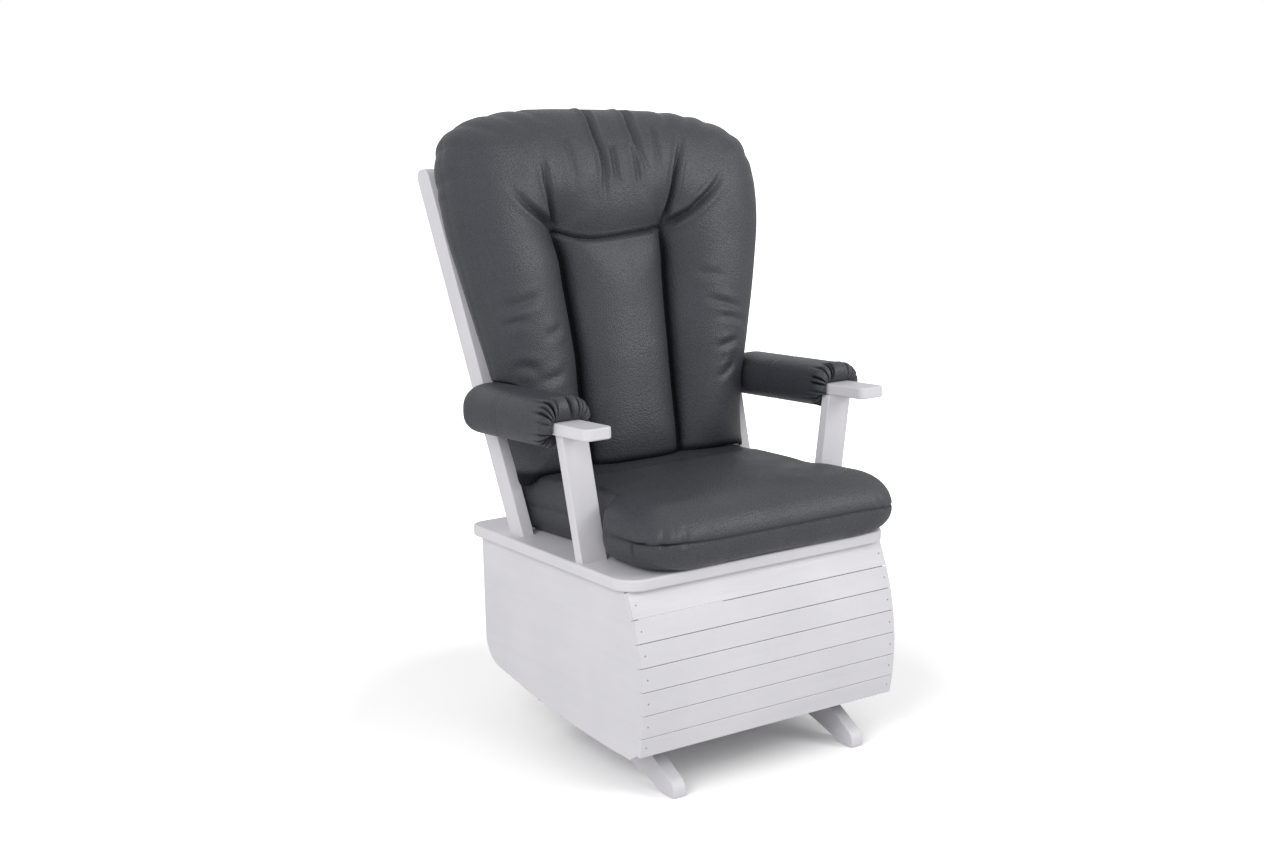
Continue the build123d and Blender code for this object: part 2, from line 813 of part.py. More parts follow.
def seat_cushion():
    """Seat cushion with its crown, rounded front and ears; the ears lie a little to the right."""
    half = post_outer - post_width - seat_side_gap
    ear_half = half + seat_ear_reach
    ear_depth = ear_rear - seat_front
    body_front = ear_rear + seat_shoulder
    body_depth = seat_rear - body_front
    ear_shape = [
        (0.0, 0.8, 0.16, 0.4, 0.52),
        (0.06, 0.91, 0.07, 0.56, 0.72),
        (0.2, 0.975, 0.02, 0.68, 0.88),
        (0.5, 1.0, 0.004, 0.74, 0.96),
        (0.9, 0.99, 0.004, 0.74, 1.0),
        (1.0, 0.95, 0.004, 0.73, 1.0),
    ]
    body_shape = [
        (0.0, 1.0, 0.004, 0.74, 1.0),
        (0.25, 1.0, 0.004, 0.75, 1.0),
        (0.55, 0.995, 0.004, 0.75, 0.97),
        (0.8, 0.99, 0.004, 0.73, 0.9),
        (0.95, 0.975, 0.004, 0.68, seat_tail_share - 0.01),
        (1.0, 0.93, 0.04, 0.55, seat_tail_share - 0.19),
    ]
    rows = [(seat_front + ear_depth * row[0], seat_ear_lie, ear_half * row[1]) + row[2:] for row in ear_shape]
    rows += [(body_front + body_depth * row[0], 0.0, half * row[1]) + row[2:] for row in body_shape]
    sections = [
        seat_section(y, middle, wide, seat_crown * low, seat_crown * edge, seat_crown * top)
        for y, middle, wide, low, edge, top in rows
    ]
    return loft(sections, ruled=True)


# Back cushion: a core, two side lobes and a centre lobe parted by channels, and a head pillow above them
back_shape = [
    (0.0, 0.69, 0.13, 0.36),
    (0.1, 0.755, 0.17, 0.44),
    (0.296, 0.847, 0.28, 0.66),
    (0.546, 0.945, 0.42, 0.86),
    (0.728, 1.0, 0.49, 0.97),
    (0.881, 0.95, 0.5, 0.9),
    (0.964, 0.74, 0.43, 0.62),
    (1.0, 0.45, 0.34, 0.4),
]
seam_share = 0.655
channel_taper = 0.8


def back_at(share):
    """Half width, channel depth and swell of the back cushion at this share of its length."""
    for start, end in zip(back_shape, back_shape[1:]):
        if start[0] <= share <= end[0]:
            part = (share - start[0]) / (end[0] - start[0])
            wide, deep, swell = (a + part * (b - a) for a, b in zip(start[1:], end[1:]))
            return back_width / 2 * wide, back_swell * deep, back_swell * swell
    raise ValueError("share lies outside the cushion")


def channel_at(share):
    """Half distance between the two channels at this share of the cushion's length."""
    return channel_spread / 2 * (channel_taper + (1 - channel_taper) * share / seam_share)


def back_section_plane(share):
    """Plane across the cushion at this share of its length: X across, Y towards the stiles."""
    along = back_foot + back_length * share
    return Plane(origin=back_plane.from_local_coords((0, along, 0)), x_dir=(1, 0, 0), z_dir=back_plane.y_dir)


def core_section(share):
    """Flat-fronted section of the cushion's core, with drawn-in sides."""
    half, deep, _ = back_at(share)
    draw = 0.55 * deep
    flat = half - draw
    edges = [
        Line((-flat, -soft_gap), (flat, -soft_gap)),
        ThreePointArc((flat, -soft_gap), (half - 0.25 * draw, -0.5 * deep), (half, -deep)),
        Line((half, -deep), (-half, -deep)),
        ThreePointArc((-half, -deep), (-half + 0.25 * draw, -0.5 * deep), (-flat, -soft_gap)),
    ]
    return back_section_plane(share) * make_face(edges)


def lobe_section(share, x_low, x_high, part):
    """Section of a stuffed lobe: a chord sunk in the core and an arc with this part of the full swell."""
    _, deep, swell = back_at(share)
    chord = deep - 2
    crest = deep + (swell - deep) * part
    edges = [
        Line((x_low, -chord), (x_high, -chord)),
        ThreePointArc((x_high, -chord), ((x_low + x_high) / 2, -crest), (x_low, -chord)),
    ]
    return back_section_plane(share) * make_face(edges)


def centre_lobe():
    """Lobe between the channels, below the cross seam."""
    rows = [(0.0, 0.9), (0.1, 0.95), (0.296, 0.95), (0.5, 0.95), (0.61, 0.85), (seam_share, 0.62)]
    halves = [channel_at(share) for share, _ in rows]
    sections = [lobe_section(share, -half, half, part) for (share, part), half in zip(rows, halves)]
    return loft(sections, ruled=True)


def side_lobe(side):
    """Lobe outside a channel, running up beside the head pillow."""
    sections = []
    for share, part in [(0.0, 0.85), (0.1, 1.0), (0.296, 1.0), (0.546, 1.0), (0.7, 0.85), (0.82, 0.4)]:
        inner = side * channel_at(min(share, seam_share))
        outer = side * (back_at(share)[0] - cut_margin)
        sections.append(lobe_section(share, min(inner, outer), max(inner, outer), part))
    return loft(sections, ruled=True)


def head_pillow():
    """Rolled pillow above the cross seam."""
    sections = []
    for share, part in [(0.64, 0.08), (0.67, 0.6), (0.75, 1.0), (0.881, 1.0), (0.964, 1.0), (0.995, 0.9)]:
        half = back_at(share)[0] - cut_margin
        sections.append(lobe_section(share, -half, half, part))
    return loft(sections, ruled=True)


def back_cushion():
    """Back cushion, cut level above the seat cushion and dented where the arm pads press it."""
    core = loft([core_section(row[0]) for row in back_shape], ruled=True)
    cushion = core + centre_lobe() + side_lobe(1) + side_lobe(-1) + head_pillow()
    seat_plane = Plane(origin=(0, 0, deck_top + seat_crown * 0.925), z_dir=(0, 0, 1))
    cushion = split(cushion, bisect_by=seat_plane, keep=Keep.TOP)
    dent = pad_body(soft_gap)
    return cushion - dent - to_left(dent)


# Nodes
nodes = {}


def pair(name, right, left=None):
    """Right-hand and left-hand nodes of one piece."""
    nodes["right_" + name] = right
    nodes["left_" + name] = to_left(right) if left is None else left


def group(name, shapes):
    """Like solids that share one node."""
    nodes[name] = Compound([solid for shape in shapes for solid in shape.solids()])


pair("runner", runner())
pair("front_upright", upright(upright_ys[0]))
pair("rear_upright", upright(upright_ys[1]))
pair("top_rail", right_rail)
nodes["front_stretcher"] = stretcher(upright_ys[0])
nodes["rear_stretcher"] = stretcher(upright_ys[1])
nodes["rear_foot"] = rear_foot()
group("foot_glides", both([foot_glide(x, y) for x, y in glide_places]))
group("stop_bumpers", both(bumpers))
group("stretcher_screws", both([stretcher_screw(y) for y in upright_ys]))
group("base_pivot_bolts", both([upper_bolt(y) for y in pivot_ys]))
group("base_pivot_nuts", both([upper_nut(y) for y in pivot_ys]))
group("base_spacers", both([spacer(y, upper_pivot_z, base_outer) for y in pivot_ys]))
group("base_inner_races", both([inner_race(y, upper_pivot_z, hanger_inner) for y in pivot_ys]))
for place, y in zip(("front", "rear"), pivot_ys):
    nodes[place + "_right_hanger"] = hanger(y)
    nodes[place + "_left_hanger"] = to_left(hanger(y))
    group(place + "_right_bearings", hanger_bearings(y))
    group(place + "_left_bearings", [to_left(shape) for shape in hanger_bearings(y)])
nodes["seat_deck"] = seat_deck()
pair("side_panel", right_panel, left_panel)
nodes["rear_panel"] = rear_panel
for k, slat in enumerate(reversed(slats)):
    nodes[f"front_slat_{k + 1}"] = slat
group("slat_nails", nails)
nodes["front_deck_cleat"] = front_cleat
nodes["rear_deck_cleat"] = rear_cleat
pair("carrier_rail", right_carrier)
group("seat_pivot_bolts", both([lower_bolt(y) for y in pivot_ys]))
group("seat_inserts", both(inserts))
group("seat_spacers", both([spacer(y, lower_pivot_z, hanger_outer) for y in pivot_ys]))
group("seat_inner_races", both([inner_race(y, lower_pivot_z, hanger_outer - bearing_width) for y in pivot_ys]))
pair("arm_post", arm_post())
pair("arm_board", arm_board())
pair("back_stile", back_stile())
nodes["back_top_rail"] = top_rail
nodes["back_low_rail"] = low_rail
group("back_slats", back_slats)
group("deck_screws", both(deck_screws))
nodes["seat_cushion"] = seat_cushion()
nodes["back_cushion"] = back_cushion()
pair("arm_pad", arm_pad())

os.makedirs("parts", exist_ok=True)
for name, shape in nodes.items():
    export_step(shape, f"parts/{name}.step")
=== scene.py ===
import json
import math

import bmesh
import bpy
import numpy as np
from mathutils import Matrix, Vector
from mathutils.bvhtree import BVHTree

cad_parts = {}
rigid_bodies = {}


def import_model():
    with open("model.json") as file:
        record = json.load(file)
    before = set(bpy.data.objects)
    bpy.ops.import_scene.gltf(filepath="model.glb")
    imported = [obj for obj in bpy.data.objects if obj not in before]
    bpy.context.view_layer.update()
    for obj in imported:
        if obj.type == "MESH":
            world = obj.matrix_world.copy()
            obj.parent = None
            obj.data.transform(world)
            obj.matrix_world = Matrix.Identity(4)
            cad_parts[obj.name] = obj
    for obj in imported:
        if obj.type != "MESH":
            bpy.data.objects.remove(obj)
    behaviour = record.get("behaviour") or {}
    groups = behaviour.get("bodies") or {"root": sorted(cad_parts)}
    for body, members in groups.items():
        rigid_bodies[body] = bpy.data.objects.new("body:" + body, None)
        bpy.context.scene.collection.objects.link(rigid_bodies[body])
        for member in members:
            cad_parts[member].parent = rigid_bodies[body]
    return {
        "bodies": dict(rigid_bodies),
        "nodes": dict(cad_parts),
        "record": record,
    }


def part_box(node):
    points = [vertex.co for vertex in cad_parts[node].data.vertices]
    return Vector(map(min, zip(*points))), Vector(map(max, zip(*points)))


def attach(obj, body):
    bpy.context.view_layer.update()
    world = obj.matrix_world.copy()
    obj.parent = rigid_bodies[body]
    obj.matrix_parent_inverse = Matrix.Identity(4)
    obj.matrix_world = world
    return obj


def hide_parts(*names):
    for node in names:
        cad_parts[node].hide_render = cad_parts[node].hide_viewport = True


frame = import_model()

bl_info = {
    "name": "Glider nursery chair",
    "version": (1, 0, 0),
    "blender": (4, 5, 0),
    "location": "View3D > Sidebar > Glider",
    "description": "Stuffed cushions, arm pads, painted wood and a studio for a glider nursery chair",
    "category": "Add Mesh",
}

# Only the chair stays in the scene, so its box is that of the solids
chair_things = set(frame["nodes"].values()) | set(frame["bodies"].values())
for thing in list(bpy.data.objects):
    if thing not in chair_things:
        bpy.data.objects.remove(thing)
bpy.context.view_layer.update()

back_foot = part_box("left_back_stile")[0]
deck_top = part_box("seat_deck")[1].z
seat_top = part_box("seat_cushion")[1].z
post_low, post_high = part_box("right_arm_post")
arm_low, arm_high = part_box("right_arm_board")
pad_low, pad_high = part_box("right_arm_pad")
stile_slope = math.tan(math.radians(19.5))
stile_inner = 0.278
arm_slope = math.tan(math.radians(2.8))
board_middle = 0.0097
clearance = 0.0006
pad_shorter = 0.008

grain_across = ["rear_panel", "back_top_rail", "back_low_rail", "front_deck_cleat", "rear_deck_cleat"]
grain_across += ["front_stretcher", "rear_stretcher", "rear_foot", "seat_deck"]
grain_across += [f"front_slat_{number}" for number in range(1, 8)]
grain_lengthways = ["left_side_panel", "right_side_panel", "left_arm_board", "right_arm_board"]
grain_lengthways += ["left_runner", "right_runner", "left_top_rail", "right_top_rail"]
grain_lengthways += ["left_carrier_rail", "right_carrier_rail"]


class GliderWood(bpy.types.PropertyGroup):
    """Finish of the painted wood and its nails."""

    paint: bpy.props.FloatVectorProperty(
        name="Paint", description="Colour of the white paint", subtype="COLOR", size=3, min=0, max=1,
        default=(0.70, 0.688, 0.722))
    paint_shade: bpy.props.FloatVectorProperty(
        name="Paint shade", description="Colour where the paint lies thin", subtype="COLOR", size=3,
        min=0, max=1, default=(0.64, 0.63, 0.66))
    grain_height: bpy.props.FloatProperty(
        name="Grain height", description="How far the grain stands out under the paint", unit="LENGTH",
        default=0.00025, min=0, max=0.002)
    nail_radius: bpy.props.FloatProperty(
        name="Nail head", description="Radius of a slat nail's head", unit="LENGTH",
        default=0.0012, min=0.0005, max=0.005)
    nail_height: bpy.props.FloatProperty(
        name="Nail crown", description="Height of a slat nail's head", unit="LENGTH",
        default=0.0005, min=0.0001, max=0.003)


class GliderUpholstery(bpy.types.PropertyGroup):
    """Cover and filling of the cushions."""

    cover: bpy.props.FloatVectorProperty(
        name="Cover", description="Colour of the coated cloth", subtype="COLOR", size=3, min=0, max=1,
        default=(0.0555, 0.0577, 0.0700))
    cover_shade: bpy.props.FloatVectorProperty(
        name="Cover shade", description="Colour in the pores of the coated cloth", subtype="COLOR", size=3,
        min=0, max=1, default=(0.0320, 0.0332, 0.0402))
    pebble: bpy.props.FloatProperty(
        name="Pebble", description="Width of one pebble of the cover's grain", unit="LENGTH",
        default=0.0027, min=0.0005, max=0.01)
    recline: bpy.props.FloatProperty(
        name="Recline", description="Lean of the back cushion from upright", unit="ROTATION",
        default=math.radians(19.5), min=0, max=1)
    pressure: bpy.props.FloatProperty(
        name="Filling pressure", description="How hard the filling pushes the cover out",
        default=4.0, min=0, max=20)
    stitch_length: bpy.props.FloatProperty(
        name="Stitch length", description="Length of one stitch", unit="LENGTH",
        default=0.0034, min=0.001, max=0.02)
    stitch_pitch: bpy.props.FloatProperty(
        name="Stitch pitch", description="Distance from stitch to stitch", unit="LENGTH",
        default=0.0050, min=0.002, max=0.03)
    stitch_radius: bpy.props.FloatProperty(
        name="Thread", description="Radius of the thread", unit="LENGTH",
        default=0.00045, min=0.0001, max=0.002)


class GliderStage(bpy.types.PropertyGroup):
    """Studio round the chair."""

    sky_light: bpy.props.FloatProperty(
        name="Room light", description="Level of the even light all round", default=0.55, min=0, max=2)
    gloss_light: bpy.props.FloatProperty(
        name="Room in gloss", description="Level of the room as it shows in glossy surfaces",
        default=0.85, min=0, max=2)
    key_power: bpy.props.FloatProperty(
        name="Key lamp", description="Power of the soft lamp at the upper left",
        default=100.0, min=0, max=1000)
    front_power: bpy.props.FloatProperty(
        name="Front lamp", description="Power of the soft lamp at the front right",
        default=52.0, min=0, max=1000)
    floor_size: bpy.props.FloatProperty(
        name="Floor", description="Width of the floor", unit="LENGTH", default=60.0, min=4, max=200)
    camera_place: bpy.props.FloatVectorProperty(
        name="Camera", description="Place of the camera", subtype="XYZ", size=3, unit="LENGTH",
        default=(-1.991, -2.6745, 1.2287))
    camera_turn: bpy.props.FloatVectorProperty(
        name="Camera turn", description="Heading, downward tilt and roll of the camera",
        subtype="EULER", size=3,
        default=(math.radians(-35.73), math.radians(11.73), math.radians(-0.24)))
    lens: bpy.props.FloatProperty(
        name="Lens", description="Focal length on a 36 mm wide sensor", default=56.565, min=10, max=300)


def smoothstep(values, low, high):
    """Soft ramp from 0 at low to 1 at high."""
    share = np.clip((values - low) / (high - low), 0, 1)
    return share * share * (3 - 2 * share)


def bell(values, middle, width):
    """Soft bump round a middle."""
    return np.exp(-((values - middle) / width) ** 2)


def triples(rows, name):
    """Three numbers from each row of a mesh."""
    flat = np.empty(len(rows) * 3, np.float32)
    rows.foreach_get(name, flat)
    return flat.reshape(-1, 3).astype(float)


class Skin:
    """Points, joining edges and outward directions of a cushion's cover."""

    def __init__(self, piece):
        self.piece = piece
        self.read()

    def read(self):
        """Take the points, edges and outward directions from the mesh."""
        mesh = self.piece.data
        self.points = triples(mesh.vertices, "co")
        ends = np.empty(len(mesh.edges) * 2, np.int32)
        mesh.edges.foreach_get("vertices", ends)
        self.edges = ends.reshape(-1, 2)
        self.out = triples(mesh.vertex_normals, "vector")

    def write(self):
        """Put the points into the mesh and find the outward directions again."""
        mesh = self.piece.data
        mesh.vertices.foreach_set("co", self.points.astype(np.float32).ravel())
        mesh.update()
        self.out = triples(mesh.vertex_normals, "vector")

    def even(self, rounds):
        """Round off the skin; each round pushes outwards again, so that the cushion gets no thinner."""
        first, second = self.edges.T
        total = len(self.points)
        count = np.bincount(self.edges.ravel(), minlength=total).clip(1)[:, None]
        for _ in range(rounds):
            for step in (0.5, -0.52):
                mean = np.column_stack([np.bincount(first, column[second], total)
                                        + np.bincount(second, column[first], total)
                                        for column in self.points.T])
                self.points = self.points + step * (mean / count - self.points)
        self.write()

    def push(self, distance):
        """Move the points along their outward directions."""
        self.points += self.out * distance[:, None]


def drawn_line(points, parts=8):
    """Smooth line through given points."""
    points = np.array(points, float)
    if len(points) < 3:
        return points
    padded = np.vstack((2 * points[0] - points[1], points, 2 * points[-1] - points[-2]))
    line = []
    for before, start, end, after in zip(padded, padded[1:], padded[2:], padded[3:]):
        for step in range(parts):
            t = step / parts
            line.append(0.5 * (2 * start + (end - before) * t
                               + (2 * before - 5 * start + 4 * end - after) * t**2
                               + (3 * start - before - 3 * end + after) * t**3))
    line.append(points[-1])
    return np.array(line)


def near_line(flat, line):
    """Distance from a line and the share of its length at the nearest place, for each point."""
    lengths = np.linalg.norm(np.diff(line, axis=0), axis=1)
    gap = np.full(len(flat), 1e3)
    share = np.zeros(len(flat))
    run = 0.0
    for start, end, length in zip(line, line[1:], lengths):
        step = end - start
        part = np.clip((flat - start) @ step / max(length**2, 1e-12), 0, 1)
        here = np.linalg.norm(flat - start - part[:, None] * step, axis=1)
        closer = here < gap
        gap[closer] = here[closer]
        share[closer] = (run + part[closer] * length) / lengths.sum()
        run += length
    return gap, share


def crease(skin, flat, points, depth, width, lip=0.0, fade=(0.0, 0.0), where=None, sharp=False):
    """Draw the cover in along a line, with a raised lip on both sides, fading towards the line's ends."""
    gap, share = near_line(flat, drawn_line(points))
    strength = np.ones(len(gap))
    if fade[0]:
        strength = strength * smoothstep(share, 0, fade[0])
    if fade[1]:
        strength = strength * smoothstep(1 - share, 0, fade[1])
    cut = np.exp(-gap / width) if sharp else bell(gap, 0, width)
    move = (lip * bell(gap, 2.2 * width, 1.1 * width) - depth * cut) * strength
    skin.push(move if where is None else move * where)


def plain_mesh(piece):
    """Replace a piece's mesh by what its modifiers make of it."""
    graph = bpy.context.evaluated_depsgraph_get()
    mesh = bpy.data.meshes.new_from_object(piece.evaluated_get(graph))
    piece.modifiers.clear()
    piece.data = mesh
    return piece


def new_piece(name, mesh):
    """New object at the origin with this mesh."""
    piece = bpy.data.objects.new(name, mesh)
    bpy.context.scene.collection.objects.link(piece)
    return piece


def refine(piece):
    """Divide every square of a cover once."""
    finer = piece.modifiers.new("finer cover", "SUBSURF")
    finer.levels = 1
    finer.render_levels = 1
    return plain_mesh(piece)


def stuff(skin, pressure, limit, held):
    """Blow the cover out with its filling; points with held at 1 are sewn down or rest on something."""
    piece = skin.piece
    start = skin.points.copy()
    levels = 10
    sewn = piece.vertex_groups.new(name="sewn down")
    level = np.round(held * levels).astype(int)
    for step in range(1, levels + 1):
        sewn.add(np.nonzero(level == step)[0].tolist(), step / levels, "REPLACE")
    filling = piece.modifiers.new("filling", "CLOTH")
    cloth = filling.settings
    cloth.quality = 6
    cloth.mass = 0.3
    cloth.tension_stiffness = 20
    cloth.compression_stiffness = 20
    cloth.shear_stiffness = 8
    cloth.bending_stiffness = 0.8
    cloth.use_pressure = True
    cloth.uniform_pressure_force = pressure
    cloth.effector_weights.gravity = 0
    cloth.vertex_group_mass = sewn.name
    filling.collision_settings.use_collision = False
    filling.collision_settings.use_self_collision = False
    last_moment = 20
    filling.point_cache.frame_start = 1
    filling.point_cache.frame_end = last_moment
    for moment in range(1, last_moment + 1):
        bpy.context.scene.frame_set(moment)
    plain_mesh(piece)
    bpy.context.scene.frame_set(1)
    piece.vertex_groups.clear()
    skin.read()
    moved = skin.points - start
    far = np.linalg.norm(moved, axis=1)
    skin.points = start + moved * np.minimum(1, limit / far.clip(1e-9))[:, None]
    skin.write()


def add_node(tree, kind, values=(), links=(), **settings):
    """New node with its settings, the values of its sockets and the links into them."""
    node = tree.nodes.new(kind)
    for name, value in settings.items():
        setattr(node, name, value)
    for socket, value in dict(values).items():
        node.inputs[socket].default_value = value
    for socket, source in dict(links).items():
        tree.links.new(source, node.inputs[socket])
    return node


def empty_tree(owner):
    """Node tree of a material or world, with nothing in it."""
    owner.use_nodes = True
    owner.node_tree.nodes.clear()
    return owner.node_tree


def new_material(name):
    """New node material with its shader and object coordinates."""
    material = bpy.data.materials.new(name)
    tree = empty_tree(material)
    shader = tree.nodes.new("ShaderNodeBsdfPrincipled")
    add_node(tree, "ShaderNodeOutputMaterial", links={"Surface": shader.outputs["BSDF"]})
    place = tree.nodes.new("ShaderNodeTexCoord")
    return material, tree, shader, place.outputs["Object"]


def stretched(tree, place, scale):
    """Object coordinates stretched by a scale along each axis."""
    return add_node(tree, "ShaderNodeMapping", {"Scale": scale}, {"Vector": place}).outputs["Vector"]


def noise(tree, place, scale, detail=3.0, rough=0.5):
    """Cloudy pattern between 0 and 1."""
    values = {"Scale": scale, "Detail": detail, "Roughness": rough}
    return add_node(tree, "ShaderNodeTexNoise", values, {"Vector": place}).outputs["Fac"]


def ranged(tree, value, low, high, to_low, to_high):
    """Value moved from one range to another."""
    values = {"From Min": low, "From Max": high, "To Min": to_low, "To Max": to_high}
    return add_node(tree, "ShaderNodeMapRange", values, {"Value": value}).outputs["Result"]


def blended(tree, factor, first, second):
    """Colour between two colours."""
    node = add_node(tree, "ShaderNodeMix", links={"Factor": factor}, data_type="RGBA")
    start, end = (socket for socket in node.inputs if socket.type == "RGBA")
    start.default_value = (*first, 1)
    end.default_value = (*second, 1)
    return next(socket for socket in node.outputs if socket.type == "RGBA")


def added(tree, first, second, share):
    """First value plus a share of the second."""
    node = add_node(tree, "ShaderNodeMath", {1: share}, {0: second, 2: first}, operation="MULTIPLY_ADD")
    return node.outputs[0]


def times(tree, value, factor):
    """Value times a factor."""
    return add_node(tree, "ShaderNodeMath", {1: factor}, {0: value}, operation="MULTIPLY").outputs[0]


def either_shader(tree, choice, first, second):
    """The first shader where the choice is 0, the second where it is 1."""
    return add_node(tree, "ShaderNodeMixShader", links={0: choice, 1: first.outputs[0], 2: second.outputs[0]})


def raised(tree, shader, height, distance, strength=1.0):
    """Relief on the surface."""
    bump = add_node(tree, "ShaderNodeBump", {"Strength": strength, "Distance": distance}, {"Height": height})
    tree.links.new(bump.outputs["Normal"], shader.inputs["Normal"])


def painted_wood(name, along, wood):
    """Satin white paint with a little of the grain showing through."""
    material, tree, shader, place = new_material(name)
    scale = [70.0, 70.0, 70.0]
    scale[along] = 3.5
    grain = noise(tree, stretched(tree, place, scale), 1.0, 5.0, 0.6)
    brush_scale = [260.0, 260.0, 260.0]
    brush_scale[along] = 9.0
    brush = noise(tree, stretched(tree, place, brush_scale), 1.0, 2.0)
    cloud = noise(tree, place, 6.0, 3.0)
    thin = ranged(tree, added(tree, cloud, grain, 0.5), 0.55, 1.05, 0.0, 1.0)
    colour = blended(tree, thin, wood.paint, wood.paint_shade)
    tree.links.new(colour, shader.inputs["Base Color"])
    tree.links.new(ranged(tree, brush, 0.3, 0.7, 0.36, 0.5), shader.inputs["Roughness"])
    raised(tree, shader, added(tree, grain, brush, 0.35), wood.grain_height, 0.6)
    shader.inputs["Specular IOR Level"].default_value = 0.4
    return material


def coated_cloth(name, upholstery):
    """Dark coated cloth with a pebbled grain, with painted shade that darkens it and takes its gloss away
    down in the folds.
    """
    material, tree, shader, place = new_material(name)
    pebbles = add_node(tree, "ShaderNodeTexVoronoi", {"Scale": 1 / upholstery.pebble, "Smoothness": 0.5},
                       {"Vector": place}, feature="SMOOTH_F1")
    wander = noise(tree, place, 260.0, 2.0)
    height = added(tree, ranged(tree, pebbles.outputs["Distance"], 0.0, 0.8, 1.0, 0.0), wander, 0.9)
    cloud = noise(tree, place, 14.0, 4.0)
    # Lighter on the pebbles of the grain and darker down in its pores, mottled by a cloud.
    pore_tone = added(tree, ranged(tree, height, 0.5, 1.5, 0.0, 0.65), cloud, 0.35)
    # The point attribute read here is painted shade: it darkens the cover along seams, channels, pulls and
    # where the cushions meet.
    attribute = add_node(tree, "ShaderNodeAttribute", attribute_type="GEOMETRY", attribute_name="fold_and_shade")
    fold_and_shade = attribute.outputs["Fac"]
    cover = blended(tree, pore_tone, upholstery.cover_shade, upholstery.cover)
    painted_shade_scale = ranged(tree, fold_and_shade, 0.0, 1.0, 1.0, 0.12)
    colour = add_node(tree, "ShaderNodeVectorMath", links={0: cover, "Scale": painted_shade_scale}, operation="SCALE")
    rough = ranged(tree, added(tree, cloud, height, 0.3), 0.4, 1.0, 0.54, 0.41)
    tree.links.new(colour.outputs[0], shader.inputs["Base Color"])
    tree.links.new(rough, shader.inputs["Roughness"])
    # Painted shade also takes the gloss out of the folds.
    tree.links.new(ranged(tree, fold_and_shade, 0.0, 0.8, 0.52, 0.05), shader.inputs["Specular IOR Level"])
    raised(tree, shader, height, 0.00048)
    return material


def two_tone(name, spots, first, second, smooth, rough, fine=None, relief=0.0, metal=0.0):
    """Finish that wanders between two colours, with its roughness and relief from a finer pattern."""
    material, tree, shader, place = new_material(name)
    pattern = noise(tree, place, spots)
    tree.links.new(blended(tree, pattern, first, second), shader.inputs["Base Color"])
    if fine:
        pattern = noise(tree, stretched(tree, place, fine), 1.0)
        raised(tree, shader, pattern, relief, 0.5)
    tree.links.new(ranged(tree, pattern, 0.3, 0.7, smooth, rough), shader.inputs["Roughness"])
    shader.inputs["Metallic"].default_value = metal
    return material


def sewn_cover(context):
    """The one coated cloth that all cushions share."""
    name = "pebbled_cover"
    return bpy.data.materials.get(name) or coated_cloth(name, context.scene.glider_upholstery)


def finish_cushion(piece, node, fold_and_shade, context):
    """Give a finished cushion its cover, the painted shade of its folds and its place on the seat."""
    # Store the painted shade as a point attribute that the cover's material reads.
    depth = piece.data.attributes.new("fold_and_shade", "FLOAT", "POINT")
    depth.data.foreach_set("value", fold_and_shade.clip(0, 1).astype(np.float32))
    piece.data.materials.clear()
    piece.data.materials.append(sewn_cover(context))
    piece.data.polygons.foreach_set("use_smooth", np.ones(len(piece.data.polygons), bool))
    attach(piece, "seat")
    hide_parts(node)


class GLIDER_OT_painted_wood(bpy.types.Operator):
    """Paint the wooden parts and finish the hardware"""

    bl_idname = "glider.painted_wood"
    bl_label = "Painted wood and hardware"

    def execute(self, context):
        wood = context.scene.glider_wood
        across = painted_wood("white_paint_across", 0, wood)
        lengthways = painted_wood("white_paint_lengthways", 1, wood)
        upright = painted_wood("white_paint_upright", 2, wood)
        moulded = (700.0, 700.0, 700.0)
        turned = (900.0, 120.0, 120.0)
        finishes = {
            "steel": two_tone("zinc_plating", 90.0, (0.5, 0.5, 0.51), (0.62, 0.62, 0.63), 0.25, 0.42,
                              turned, 0.00005, 1.0),
            "bumper_rubber": two_tone("bumper_rubber", 45.0, (0.02, 0.02, 0.02), (0.035, 0.035, 0.036),
                                      0.64, 0.76, moulded, 0.0001),
            "glide_plastic": two_tone("glide_plastic", 45.0, (0.42, 0.42, 0.43), (0.5, 0.5, 0.5),
                                      0.44, 0.56, moulded, 0.0001),
            "upholstery": sewn_cover(context),
        }
        along = {node: across for node in grain_across} | {node: lengthways for node in grain_lengthways}
        for row in frame["record"]["subparts"]:
            node = row["node"]
            material = finishes.get(row["material_slot"]) or along.get(node, upright)
            solid = frame["nodes"][node]
            solid.data.materials.clear()
            solid.data.materials.append(material)
        return {"FINISHED"}


def maker_tree(name, source, sizes, result):
    """New tree that makes a piece: its sockets for the source and the sizes, its finish and its result."""
    tree = bpy.data.node_groups.new(name, "GeometryNodeTree")
    sockets = [(source, "INPUT", "NodeSocketGeometry")]
    sockets += [(size, "INPUT", "NodeSocketFloat") for size in sizes]
    sockets += [("Finish", "INPUT", "NodeSocketMaterial"), (result, "OUTPUT", "NodeSocketGeometry")]
    for label, way, kind in sockets:
        tree.interface.new_socket(name=label, in_out=way, socket_type=kind)
    start = tree.nodes.new("NodeGroupInput").outputs
    return tree, start, tree.nodes.new("NodeGroupOutput").inputs[result]


def outward_of(tree):
    """Outward direction that each point carries."""
    node = add_node(tree, "GeometryNodeInputNamedAttribute", data_type="FLOAT_VECTOR")
    node.inputs["Name"].default_value = "outward"
    return node.outputs["Attribute"]


def set_out(tree, points, form, turn, finish, result):
    """Put a copy of a form with its finish on every point."""
    spread = add_node(tree, "GeometryNodeInstanceOnPoints",
                      links={"Points": points, "Instance": form, "Rotation": turn.outputs["Rotation"]})
    real = add_node(tree, "GeometryNodeRealizeInstances", links={"Geometry": spread.outputs["Instances"]})
    cover = add_node(tree, "GeometryNodeSetMaterial",
                     links={"Geometry": real.outputs["Geometry"], "Material": finish})
    tree.links.new(cover.outputs["Geometry"], result)


